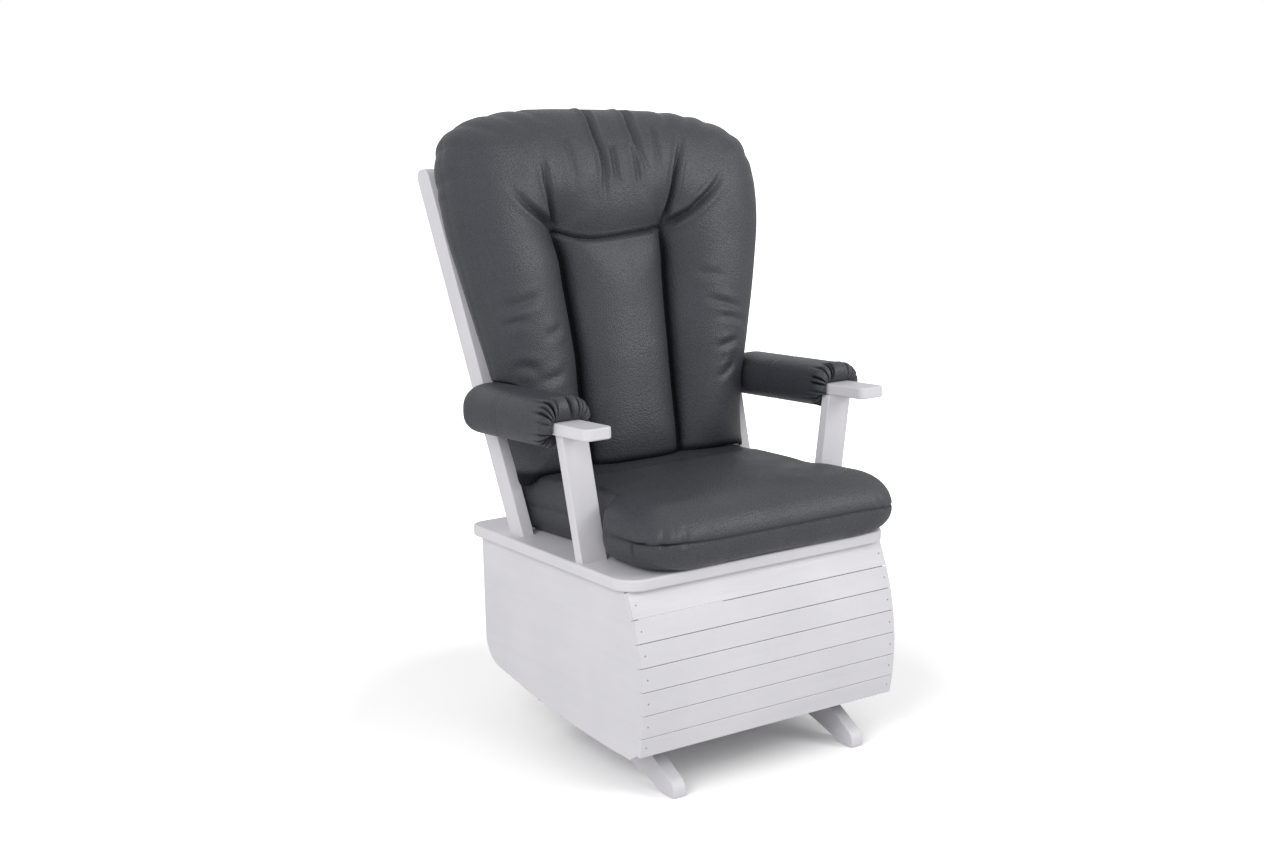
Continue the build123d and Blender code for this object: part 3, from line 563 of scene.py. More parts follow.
def nail_tree():
    """Nodes that drive a crowned nail into every point, pointing out along the point's own direction."""
    sizes = ("Head Radius", "Head Height", "Shank Length")
    tree, start, result = maker_tree("slat nails", "Points", sizes, "Nails")
    radius, height, length = (start[size] for size in sizes)
    head = add_node(tree, "GeometryNodeMeshCone", {"Vertices": 14},
                    {"Radius Top": times(tree, radius, 0.7), "Radius Bottom": radius, "Depth": height})
    shank = add_node(tree, "GeometryNodeMeshCylinder", {"Vertices": 8},
                     {"Radius": times(tree, radius, 0.6), "Depth": length})
    down = add_node(tree, "ShaderNodeCombineXYZ", links={"Z": times(tree, length, -0.5)})
    sunk = add_node(tree, "GeometryNodeTransform",
                    links={"Geometry": shank.outputs["Mesh"], "Translation": down.outputs["Vector"]})
    nail = add_node(tree, "GeometryNodeJoinGeometry", links={"Geometry": head.outputs["Mesh"]})
    tree.links.new(sunk.outputs["Geometry"], nail.inputs["Geometry"])
    turn = add_node(tree, "FunctionNodeAlignRotationToVector", links={"Vector": outward_of(tree)}, axis="Z")
    set_out(tree, start["Points"], nail.outputs["Geometry"], turn, start["Finish"], result)
    return tree


def stitch_tree():
    """Nodes that lay bowed stitches of thread along a line, standing out along the line's own direction."""
    sizes = ("Stitch Length", "Stitch Pitch", "Thread Radius")
    tree, start, result = maker_tree("seam stitches", "Seam", sizes, "Stitches")
    length, pitch, radius = (start[size] for size in sizes)
    line = add_node(tree, "GeometryNodeMeshToCurve", links={"Mesh": start["Seam"]})
    places = add_node(tree, "GeometryNodeCurveToPoints",
                      links={"Curve": line.outputs["Curve"], "Length": pitch}, mode="LENGTH")
    bow = add_node(tree, "GeometryNodeCurveQuadraticBezier", {"Resolution": 4})
    for place, axis, distance in (("Start", "X", times(tree, length, -0.5)), ("Middle", "Z", radius),
                                  ("End", "X", times(tree, length, 0.5))):
        spot = add_node(tree, "ShaderNodeCombineXYZ", links={axis: distance})
        tree.links.new(spot.outputs[0], bow.inputs[place])
    ring = add_node(tree, "GeometryNodeCurvePrimitiveCircle", {"Resolution": 6}, {"Radius": radius})
    thread = add_node(tree, "GeometryNodeCurveToMesh", {"Fill Caps": True},
                      {"Curve": bow.outputs["Curve"], "Profile Curve": ring.outputs["Curve"]})
    run = add_node(tree, "FunctionNodeAlignRotationToVector",
                   links={"Vector": places.outputs["Tangent"]}, axis="X")
    stand = add_node(tree, "FunctionNodeAlignRotationToVector",
                     links={"Rotation": run.outputs["Rotation"], "Vector": outward_of(tree)},
                     axis="Z", pivot_axis="X")
    set_out(tree, places.outputs["Points"], thread.outputs["Mesh"], stand, start["Finish"], result)
    return tree


def grow(name, points, edges, outward, tree, values):
    """Piece that a node tree makes from points and lines with their outward directions."""
    mesh = bpy.data.meshes.new(name)
    mesh.from_pydata([tuple(point) for point in points], edges, [])
    attribute = mesh.attributes.new("outward", "FLOAT_VECTOR", "POINT")
    attribute.data.foreach_set("vector", np.asarray(outward, np.float32).ravel())
    piece = new_piece(name, mesh)
    maker = piece.modifiers.new("maker", "NODES")
    maker.node_group = tree
    for socket in tree.interface.items_tree:
        if socket.name in values:
            maker[socket.identifier] = values[socket.name]
    return plain_mesh(piece)


def separate_lumps(node):
    """Points of each separate lump of a solid."""
    form = bmesh.new()
    form.from_mesh(frame["nodes"][node].data)
    bmesh.ops.remove_doubles(form, verts=form.verts, dist=1e-5)
    lumps = []
    waiting = set(form.verts)
    while waiting:
        stack = [waiting.pop()]
        lump = []
        while stack:
            vertex = stack.pop()
            lump.append(vertex.co.copy())
            for edge in vertex.link_edges:
                other = edge.other_vert(vertex)
                if other in waiting:
                    waiting.remove(other)
                    stack.append(other)
        lumps.append(np.array(lump))
    form.free()
    return sorted(lumps, key=lambda lump: (round(lump[:, 2].mean(), 3), lump[:, 0].mean()))


class GLIDER_OT_slat_nails(bpy.types.Operator):
    """Drive the nails that hold the front slats"""

    bl_idname = "glider.slat_nails"
    bl_label = "Slat nails"

    def execute(self, context):
        wood = context.scene.glider_wood
        points, outward = [], []
        for lump in separate_lumps("slat_nails"):
            middle = lump.mean(0)
            axis = np.linalg.svd(lump - middle)[2][0]
            axis = axis if axis[1] < 0 else -axis
            outward.append(axis)
            points.append(middle + axis * ((lump - middle) @ axis).max())
        material = two_tone("nail_head", 900.0, (0.24, 0.235, 0.23), (0.36, 0.355, 0.35), 0.45, 0.6)
        values = {"Head Radius": wood.nail_radius, "Head Height": wood.nail_height,
                  "Shank Length": 0.02, "Finish": material}
        nails = grow("nails", points, [], outward, nail_tree(), values)
        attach(nails, "seat")
        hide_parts("slat_nails")
        return {"FINISHED"}


def on_back(points, recline):
    """Place across the back, up along it and out from it."""
    y = points[:, 1] - back_foot.y
    z = points[:, 2] - back_foot.z
    up = y * math.sin(recline) + z * math.cos(recline)
    out = z * math.sin(recline) - y * math.cos(recline)
    return np.column_stack((points[:, 0], up, out))


def off_back(places, recline):
    """Points in the chair from places on the back."""
    up, out = places[:, 1], places[:, 2]
    y = back_foot.y + up * math.sin(recline) - out * math.cos(recline)
    z = back_foot.z + up * math.cos(recline) + out * math.sin(recline)
    return np.column_stack((places[:, 0], y, z))


# Sewn lines of the back cushion: across from the middle and up along the back
left_channel = [
    (-0.132, 0.499), (-0.118, 0.457), (-0.113, 0.410), (-0.106, 0.290), (-0.105, 0.217), (-0.100, 0.060),
]
right_channel = [
    (0.098, 0.492), (0.101, 0.445), (0.099, 0.410), (0.092, 0.290), (0.091, 0.217), (0.086, 0.060),
]
cross_seam = [
    (-0.132, 0.499), (-0.096, 0.482), (-0.048, 0.476), (0.017, 0.480), (0.062, 0.485), (0.098, 0.492),
]

# Outline of the back cushion, the same way round: fuller at the upper left, lower at the upper right
back_outline = [
    (-0.245, 0.082), (-0.252, 0.120), (-0.258, 0.165), (-0.266, 0.222), (-0.276, 0.285), (-0.289, 0.362),
    (-0.302, 0.440), (-0.313, 0.515), (-0.315, 0.585), (-0.311, 0.638), (-0.295, 0.675), (-0.250, 0.702),
    (-0.180, 0.716), (-0.100, 0.720), (0.0, 0.716), (0.100, 0.710), (0.185, 0.699), (0.253, 0.678),
    (0.302, 0.644), (0.320, 0.598), (0.323, 0.540), (0.318, 0.486), (0.305, 0.430), (0.286, 0.360),
    (0.263, 0.285), (0.246, 0.222), (0.234, 0.165), (0.228, 0.120), (0.224, 0.086), (0.200, 0.080),
    (0.0, 0.076), (-0.205, 0.078),
]

# Pulls in the cover of the back cushion, with their depth and width
corner_pulls = [
    ([(-0.132, 0.499), (-0.147, 0.537), (-0.156, 0.572), (-0.157, 0.598), (-0.166, 0.632)], 0.0080, 0.0050),
    ([(-0.134, 0.500), (-0.154, 0.510), (-0.190, 0.528), (-0.219, 0.554), (-0.240, 0.580)], 0.0075, 0.0058),
    ([(0.097, 0.493), (0.104, 0.532), (0.110, 0.562), (0.123, 0.597), (0.140, 0.632), (0.149, 0.655)],
     0.0095, 0.0050),
    ([(0.100, 0.492), (0.138, 0.507), (0.164, 0.522), (0.195, 0.544), (0.227, 0.574)], 0.0080, 0.0058),
    ([(0.140, 0.515), (0.170, 0.532), (0.200, 0.556), (0.226, 0.586)], 0.0035, 0.0050),
]
gathers = [
    ([(-0.019, 0.716), (-0.025, 0.703), (-0.034, 0.678), (-0.039, 0.649), (-0.037, 0.616), (-0.037, 0.587),
      (-0.042, 0.559), (-0.042, 0.535), (-0.046, 0.511)], 0.0062, 0.0044),
    ([(0.060, 0.712), (0.055, 0.693), (0.044, 0.668), (0.043, 0.647), (0.043, 0.619), (0.050, 0.588),
      (0.051, 0.562)], 0.0050, 0.0052),
    ([(-0.012, 0.632), (-0.013, 0.614), (-0.014, 0.582), (-0.009, 0.545)], 0.0032, 0.0046),
    ([(0.030, 0.632), (0.032, 0.610), (0.031, 0.562), (0.034, 0.540)], 0.0032, 0.0046),
    ([(0.086, 0.660), (0.080, 0.610), (0.078, 0.560)], 0.0020, 0.0055),
    ([(-0.105, 0.650), (-0.100, 0.600), (-0.102, 0.550)], 0.0016, 0.0060),
]
lobe_wrinkles = [
    ([(-0.283, 0.384), (-0.244, 0.376), (-0.185, 0.387)], 0.0027, 0.0080),
    ([(-0.274, 0.340), (-0.254, 0.346), (-0.215, 0.347)], 0.0022, 0.0070),
    ([(-0.260, 0.270), (-0.242, 0.275), (-0.205, 0.262)], 0.0028, 0.0072),
    ([(-0.150, 0.340), (-0.172, 0.325), (-0.205, 0.316)], 0.0018, 0.0072),
    ([(-0.150, 0.262), (-0.180, 0.250), (-0.225, 0.244)], 0.0021, 0.0075),
    ([(0.142, 0.358), (0.181, 0.343), (0.238, 0.326)], 0.0030, 0.0066),
    ([(0.162, 0.321), (0.208, 0.314), (0.248, 0.304)], 0.0026, 0.0062),
    ([(0.152, 0.266), (0.186, 0.270), (0.222, 0.280)], 0.0026, 0.0062),
    ([(0.132, 0.407), (0.160, 0.396), (0.198, 0.391)], 0.0021, 0.0072),
    ([(0.150, 0.210), (0.180, 0.222), (0.212, 0.246)], 0.0020, 0.0066),
]

# Places on the outline where its seam puckers, and how far each pucker runs in
puckers = [
    (-0.314, 0.600, 0.060), (-0.300, 0.652, 0.070), (-0.262, 0.689, 0.080), (-0.205, 0.711, 0.070),
    (-0.150, 0.719, 0.055), (0.150, 0.706, 0.060), (0.200, 0.694, 0.075), (0.240, 0.680, 0.080),
    (0.285, 0.652, 0.070), (0.312, 0.610, 0.055),
]

# Depths of the back cushion up along the back: its rim, its crest and the bottom of its channels
rim_up = (0.06, 0.158, 0.282, 0.440, 0.555, 0.652, 0.704, 0.728)
rim_out = (0.012, 0.018, 0.039, 0.057, 0.070, 0.072, 0.056, 0.048)
crest_up = (0.06, 0.158, 0.282, 0.440, 0.555, 0.640, 0.728)
crest_out = (0.048, 0.066, 0.096, 0.121, 0.137, 0.138, 0.128)
channel_up = (0.06, 0.217, 0.290, 0.410, 0.506)
channel_out = (0.016, 0.030, 0.045, 0.059, 0.081)

# Widths over which the back cushion swells from its rim and its sewn lines, and how it stands on the seat
rim_round = 0.085
rear_round = 0.05
rear_gap = 0.0008
panel_width, lobe_width = 0.096, 0.088
pillow_width, panel_top = 0.066, 0.05
panel_sink = 0.016
mitre = 0.005
seam_floor, seam_lift = 0.081, 0.021
stand_depth, stand_droop = 0.008, 0.017

# How far and how widely the sewn lines, the puckers and the seam round the edge draw the cover in
channel_draw, channel_width, channel_fade = 0.008, 0.0050, (0.10, 0.05)
seam_draw, seam_width, seam_lip, seam_fade = 0.0042, 0.0030, 0.0010, (0.02, 0.02)
pucker_draw, pucker_width, pucker_lip = 0.0016, 0.0085, 0.0006
edge_draw, edge_width, edge_height = 0.0022, 0.010, 0.0025
stitch_row = 0.0042

# Rows and columns of the cover that move over to lie along the sewn lines
channel_columns, seam_rows = 22, 18


def round_off(share):
    """Quarter circle from 0 at the edge to 1."""
    return np.sqrt(1 - (1 - np.clip(share, 0, 1)) ** 2)


def swelling(share, fullness):
    """Rise from 0 at a sewn line to 1, steep at the line and level at the crest."""
    return 1 - (1 - np.clip(share, 0, 1)) ** fullness


def closed_line(points, parts=8):
    """Smooth closed line through given points."""
    wrapped = points[-2:] + points + points[:3]
    line = drawn_line(wrapped, parts)
    return line[2 * parts:(2 + len(points)) * parts]


def rim_gap(places, outline):
    """Distance of places from a closed outline."""
    rim = closed_line(outline)
    return near_line(places, np.vstack((rim, rim[:1])))[0]


def spaced(count, places):
    """Shares from 0 to 1, closer together near places that are given with a width and an extra density."""
    fine = np.linspace(0, 1, 4001)
    density = np.ones(len(fine))
    for place, width, more in places:
        density += more * bell(fine, place, width)
    run = np.cumsum(density)
    run = (run - run[0]) / (run[-1] - run[0])
    return np.interp(np.linspace(0, 1, count), run, fine)


def along_line(line, shares):
    """Points at these shares of a line's length."""
    steps = np.linalg.norm(np.diff(line, axis=0), axis=1)
    run = np.concatenate(([0], np.cumsum(steps))) / steps.sum()
    return np.column_stack([np.interp(shares, run, line[:, axis]) for axis in (0, 1)])


def cut_panel(outline, corners, columns, rows, parts=8):
    """Rows and columns of places inside an outline, between the four corners named by their number in it."""
    rim = closed_line(outline, parts)
    first, second, third, fourth = (corner * parts for corner in corners)
    turned = np.roll(rim, -first, axis=0)
    turned = np.vstack((turned, turned[:1]))
    cuts = [0, second - first, third - first, fourth - first, len(rim)]
    sides = [turned[start:end + 1] for start, end in zip(cuts, cuts[1:])]
    left, top = along_line(sides[0], rows), along_line(sides[1], columns)
    right, bottom = along_line(sides[2][::-1], rows), along_line(sides[3][::-1], columns)
    u, v = columns[None, :, None], rows[:, None, None]
    panel = (1 - v) * bottom[None] + v * top[None] + (1 - u) * left[:, None] + u * right[:, None]
    panel -= (1 - u) * (1 - v) * bottom[0] + u * (1 - v) * bottom[-1] + (1 - u) * v * top[0] + u * v * top[-1]
    edge = rim_gap(panel.reshape(-1, 2), outline).reshape(panel.shape[:2])
    edge[[0, -1]] = 0
    edge[:, [0, -1]] = 0
    return panel, edge


def rim_of(grid):
    """Outermost entries of a grid, once round."""
    return np.concatenate((grid[0, :-1], grid[:-1, -1], grid[-1, :0:-1], grid[:0:-1, 0]))


def closed_mesh(name, points, faces):
    """Mesh with its faces turned outwards."""
    mesh = bpy.data.meshes.new(name)
    mesh.from_pydata(points.tolist(), [], faces.tolist())
    form = bmesh.new()
    form.from_mesh(mesh)
    bmesh.ops.recalc_face_normals(form, faces=form.faces)
    form.to_mesh(mesh)
    form.free()
    return mesh


def sewn_skin(name, top, bands, bottom):
    """Closed skin of a top sheet, bands round its rim and a bottom sheet."""
    shape = top.shape[:2]
    points = [top.reshape(-1, 3)]
    total = shape[0] * shape[1]
    top_index = np.arange(total).reshape(shape)
    faces = []
    loop = rim_of(top_index)
    rim = loop
    for band in bands:
        following = total + np.arange(len(band))
        points.append(band)
        total += len(band)
        faces.append(np.column_stack((loop, np.roll(loop, -1), np.roll(following, -1), following)))
        loop = following
    inside = bottom[1:-1, 1:-1]
    points.append(inside.reshape(-1, 3))
    bottom_index = np.full(shape, -1)
    bottom_index[1:-1, 1:-1] = total + np.arange(inside.size // 3).reshape(inside.shape[:2])
    bottom_index.ravel()[rim] = loop
    for index in (top_index, bottom_index):
        corners = (index[:-1, :-1], index[:-1, 1:], index[1:, 1:], index[1:, :-1])
        faces.append(np.column_stack([corner.ravel() for corner in corners]))
    return new_piece(name, closed_mesh(name, np.vstack(points), np.vstack(faces)))


class GLIDER_OT_back_cushion(bpy.types.Operator):
    """Stuff and sew the back cushion"""

    bl_idname = "glider.back_cushion"
    bl_label = "Back cushion"

    def execute(self, context):
        upholstery = context.scene.glider_upholstery
        recline = upholstery.recline
        piece = self.blank(recline)
        skin = Skin(piece)
        flat = on_back(skin.points, recline)
        on_boards = 1 - smoothstep(flat[:, 2], 0.004, 0.016)
        on_seat = 1 - smoothstep(skin.points[:, 2], 0.468, 0.482)
        held = np.maximum(on_boards, on_seat)
        facing = self.facing(skin, recline)
        for line in (left_channel, right_channel, cross_seam):
            gap, _ = near_line(flat[:, :2], drawn_line(line))
            held = np.maximum(held, (1 - smoothstep(gap, 0.003, 0.012)) * smoothstep(facing, 0.0, 0.4))
        held = np.maximum(held, 0.8 * (1 - smoothstep(rim_gap(flat[:, :2], back_outline), 0.004, 0.03)))
        stuff(skin, upholstery.pressure, 0.010, held)
        skin.even(2)
        refine(piece)
        skin.read()
        fold_and_shade = self.sew(skin, recline)
        self.keep_clear(skin, recline)
        finish_cushion(piece, "back_cushion", fold_and_shade, context)
        return {"FINISHED"}

    def blank(self, recline):
        """Unfilled cover with rows and columns of points along its sewn lines."""
        columns = spaced(150, ((0.0, 0.05, 2.0), (1.0, 0.05, 2.0), (0.32, 0.025, 2.2), (0.68, 0.025, 2.2)))
        rows = spaced(150, ((0.0, 0.04, 1.0), (1.0, 0.06, 2.2), (0.665, 0.03, 2.2)))
        panel, edge = cut_panel(back_outline, (0, 10, 18, 28), columns, rows)
        self.follow_channels(panel)
        self.follow_seam(panel)
        places = panel.reshape(-1, 2)
        depth = self.front_depth(places, edge.ravel())
        rim = np.interp(places[:, 1], rim_up, rim_out)
        flat = rear_gap + (rim - rear_gap) * (1 - round_off(edge.ravel() / rear_round))
        front, rear = (self.rest_on_seat(np.column_stack((places, out)), recline).reshape(*edge.shape, 3)
                       for out in (depth, flat))
        return sewn_skin("back_cushion_cover", front, [], rear)

    def follow_channels(self, panel):
        """Move a column of places onto each channel."""
        for line in (left_channel, right_channel):
            drawn = drawn_line(line)[::-1]
            goal = np.interp(panel[:, :, 1], drawn[:, 1], drawn[:, 0])
            below = panel[:, panel.shape[1] // 2, 1] < 0.5
            column = np.abs(panel[:, :, 0] - goal)[below].mean(0).argmin()
            shift = (goal - panel[:, :, 0])[:, column] * (1 - smoothstep(panel[:, column, 1], 0.52, 0.66))
            reach = 1 - smoothstep(np.abs(np.arange(panel.shape[1]) - column), 0, channel_columns)
            panel[:, :, 0] += shift[:, None] * reach[None, :]

    def follow_seam(self, panel):
        """Move a row of places onto the cross seam."""
        drawn = drawn_line(cross_seam)
        goal = np.interp(panel[:, :, 0], drawn[:, 0], drawn[:, 1])
        middle = np.abs(panel[:, :, 0]) < 0.119
        row = (np.where(middle, np.abs(panel[:, :, 1] - goal), 0).sum(1) / middle.sum(1)).argmin()
        shift = (goal - panel[:, :, 1])[row] * (1 - smoothstep(np.abs(panel[row, :, 0]), 0.125, 0.19))
        reach = 1 - smoothstep(np.abs(np.arange(panel.shape[0]) - row), 0, seam_rows)
        panel[:, :, 1] += shift[None, :] * reach[:, None]

    def facing(self, skin, recline):
        """How far each point of the cover looks out from the back."""
        return skin.out[:, 2] * math.sin(recline) - skin.out[:, 1] * math.cos(recline)

    def front_depth(self, places, edge):
        """Depth of the cushion's front: lobes and a head pillow, drawn in along the sewn lines."""
        across, up = places.T
        rim = np.interp(up, rim_up, rim_out)
        crest = np.interp(up, crest_up, crest_out)
        floor = np.interp(up, channel_up, channel_out)
        left, right = drawn_line(left_channel)[::-1], drawn_line(right_channel)[::-1]
        seam_line = drawn_line(cross_seam)
        below = up < np.interp(across, seam_line[:, 0], seam_line[:, 1])
        inside_left = across > np.interp(up, left[:, 1], left[:, 0])
        inside_right = across < np.interp(up, right[:, 1], right[:, 0])
        panel = below & inside_left & inside_right
        crest = np.where(panel, crest - panel_sink * smoothstep(up, 0.1, 0.4), crest)
        depth = crest
        for line in (left, right):
            gap, _ = near_line(places, line)
            rise = np.where(panel, swelling(gap / panel_width, 3.2), swelling(gap / lobe_width, 2.2))
            depth = np.minimum(depth, floor + (crest - floor) * rise)
        gap, share = near_line(places, seam_line)
        middle = np.sin(np.pi * share).clip(0, 1) ** 0.6
        seam = seam_floor + seam_lift * middle
        pillow = seam + (crest - seam) * swelling(gap / pillow_width, 2.2)
        upper = seam + (crest - seam) * swelling(gap / panel_top, 1.5)
        blend = -mitre * np.logaddexp(-depth / mitre, -upper / mitre)
        depth = np.where(panel, blend, np.minimum(depth, pillow))
        return rim + (depth - rim) * round_off(edge / rim_round)

    def rest_on_seat(self, places, recline):
        """Points in the chair, flattened where the cushion stands on the seat."""
        points = off_back(places, recline)
        droop = stand_droop * smoothstep(np.abs(points[:, 0]), 0.219, 0.234)
        points[:, 2] = np.maximum(points[:, 2], seat_top - stand_depth - droop)
        return points

    def sew(self, skin, recline):
        """Draw in the sewn lines and their pulls; gives the painted shade of each point."""
        flat = on_back(skin.points, recline)
        front = smoothstep(self.facing(skin, recline), -0.2, 0.3)
        lines = flat[:, :2]
        for line in (left_channel, right_channel):
            crease(skin, lines, line, channel_draw, channel_width, 0.0, channel_fade, front, True)
        crease(skin, lines, cross_seam, seam_draw, seam_width, seam_lip, seam_fade, front, True)
        skin.write()
        for pulls, lip, fade in ((corner_pulls, 0.35, (0.16, 0.6)), (gathers, 0.45, (0.06, 0.55)),
                                 (lobe_wrinkles, 0.45, (0.4, 0.4))):
            for line, depth, width in pulls:
                crease(skin, lines, line, depth, width, depth * lip, fade, front)
        skin.write()
        for x, up, run in puckers:
            inward = np.array((0.0, 0.50)) - (x, up)
            inward *= run / np.linalg.norm(inward)
            line = [(x - inward[0] * 0.2, up - inward[1] * 0.2), (x + inward[0], up + inward[1])]
            crease(skin, lines, line, pucker_draw, pucker_width, pucker_lip, (0.0, 0.8))
        beside = np.exp(-rim_gap(lines, back_outline) / edge_width)
        middle = np.interp(flat[:, 1], rim_up, rim_out)
        skin.push(-edge_draw * beside * np.exp(-np.abs(flat[:, 2] - middle) / edge_height))
        skin.write()
        return self.folds(skin, lines, front)

    def folds(self, skin, lines, front):
        """Painted shade for each point: along the sewn lines and pulls, and a painted contact shadow down at
        the seat.
        """
        # Painted contact shadow where the back cushion stands on the seat.
        fold_and_shade = 0.85 * (1 - smoothstep(skin.points[:, 2], seat_top - 0.007, seat_top + 0.009))
        # Painted shade down the channels and along the cross seam.
        for line, width, dark in ((left_channel, 0.0045, 0.9), (right_channel, 0.0045, 0.9),
                                  (cross_seam, 0.0011, 0.75)):
            gap, _ = near_line(lines, drawn_line(line))
            fold_and_shade = np.maximum(fold_and_shade, dark * np.exp(-gap / width) * front)
        # Painted shade along the corner pulls and the gathers.
        for line, depth, width in corner_pulls + gathers:
            gap, share = near_line(lines, drawn_line(line))
            dark = 60 * depth * smoothstep(1 - share, 0.0, 0.8)
            fold_and_shade = np.maximum(fold_and_shade, dark * bell(gap, 0, width * 0.55) * front)
        return fold_and_shade

    def keep_clear(self, skin, recline):
        """Stay off the back boards, the arm pads and the seat cushion."""
        flat = on_back(skin.points, recline)
        across = np.abs(flat[:, 0])
        pad_drop, pad_half, pad_gap = 0.0037, 0.044, 0.003
        height = (skin.points[:, 2] - arm_top(skin.points[:, 1]) + pad_drop) / pad_half
        reach = (pad_high.x - pad_low.x) / 2 * (1 - np.abs(height).clip(0, 1) ** 2.5) ** 0.4
        limit = np.where(np.abs(height) < 1, (pad_low.x + pad_high.x) / 2 - reach - pad_gap, 1.0)
        pad_end = np.where(flat[:, 0] < 0, pad_high.y - pad_shorter, pad_high.y)
        before = smoothstep(pad_end - skin.points[:, 1], -0.002, 0.006)
        flat[:, 0] = np.sign(flat[:, 0]) * (across + (np.minimum(across, limit) - across) * before)
        flat[:, 2] = np.maximum(flat[:, 2], clearance)
        skin.points = self.rest_on_seat(flat, recline)
        skin.write()


# Outline of the seat cushion seen from above: ears in front of the posts, a body between posts and stiles
seat_outline = [
    (-0.203, -0.292), (-0.230, -0.280), (-0.245, -0.252), (-0.249, -0.215), (-0.247, -0.180),
    (-0.240, -0.158), (-0.226, -0.151), (-0.2185, -0.146), (-0.2185, -0.115), (-0.221, -0.060),
    (-0.224, 0.0), (-0.227, 0.080),
    (-0.225, 0.110), (-0.190, 0.114), (-0.100, 0.114), (0.0, 0.114), (0.100, 0.114), (0.190, 0.114),
    (0.224, 0.110), (0.226, 0.080), (0.223, 0.0), (0.221, -0.060), (0.2185, -0.115), (0.2185, -0.146),
    (0.238, -0.151), (0.265, -0.157), (0.280, -0.176), (0.285, -0.210), (0.286, -0.245), (0.276, -0.277),
    (0.240, -0.292), (0.190, -0.2955), (0.100, -0.297), (0.020, -0.297), (-0.060, -0.297), (-0.150, -0.2955),
]

# Crown of the seat cushion from front to rear, the height of its band's seam and its half width at the stiles
crown_along = (-0.297, -0.24, -0.18, -0.10, 0.0, 0.03, 0.107)
crown_high = (0.463, 0.4695, 0.474, 0.475, 0.472, 0.468, 0.466)
band_seam = 0.4135
between_stiles = 0.2295
front_round, side_round, rear_tighter = 0.060, 0.020, 0.006

# How far the band curls in: all round, at the rear sides, at the front and more at each ear
curl_round, curl_sides, curl_front, curl_left, curl_right = 0.010, 0.022, 0.022, 0.026, 0.008

# How far and how widely the band's seam and its joins draw the cover in
band_draw, band_width = 0.0026, 0.0014
join_width, join_lip = 0.0022, 0.0006

# Upright joins of the band and small pleats above its seam, as lines on the seat cushion
band_joins = [
    ([(-0.2458, -0.2471, 0.4190), (-0.2440, -0.2460, 0.3800)], 0.0024),
    ([(0.2740, -0.2790, 0.4110), (0.2660, -0.2740, 0.3800)], 0.0024),
]
seat_pleats = [
    ([(-0.2390, -0.2680, 0.4190), (-0.2250, -0.2600, 0.4460)], 0.0018, 0.0055),
    ([(-0.2180, -0.2880, 0.4180), (-0.2060, -0.2760, 0.4480)], 0.0022, 0.0055),
    ([(-0.1780, -0.2955, 0.4170), (-0.1690, -0.2830, 0.4460)], 0.0018, 0.0055),
    ([(0.2380, -0.2920, 0.4110), (0.2300, -0.2800, 0.4380)], 0.0014, 0.0055),
]


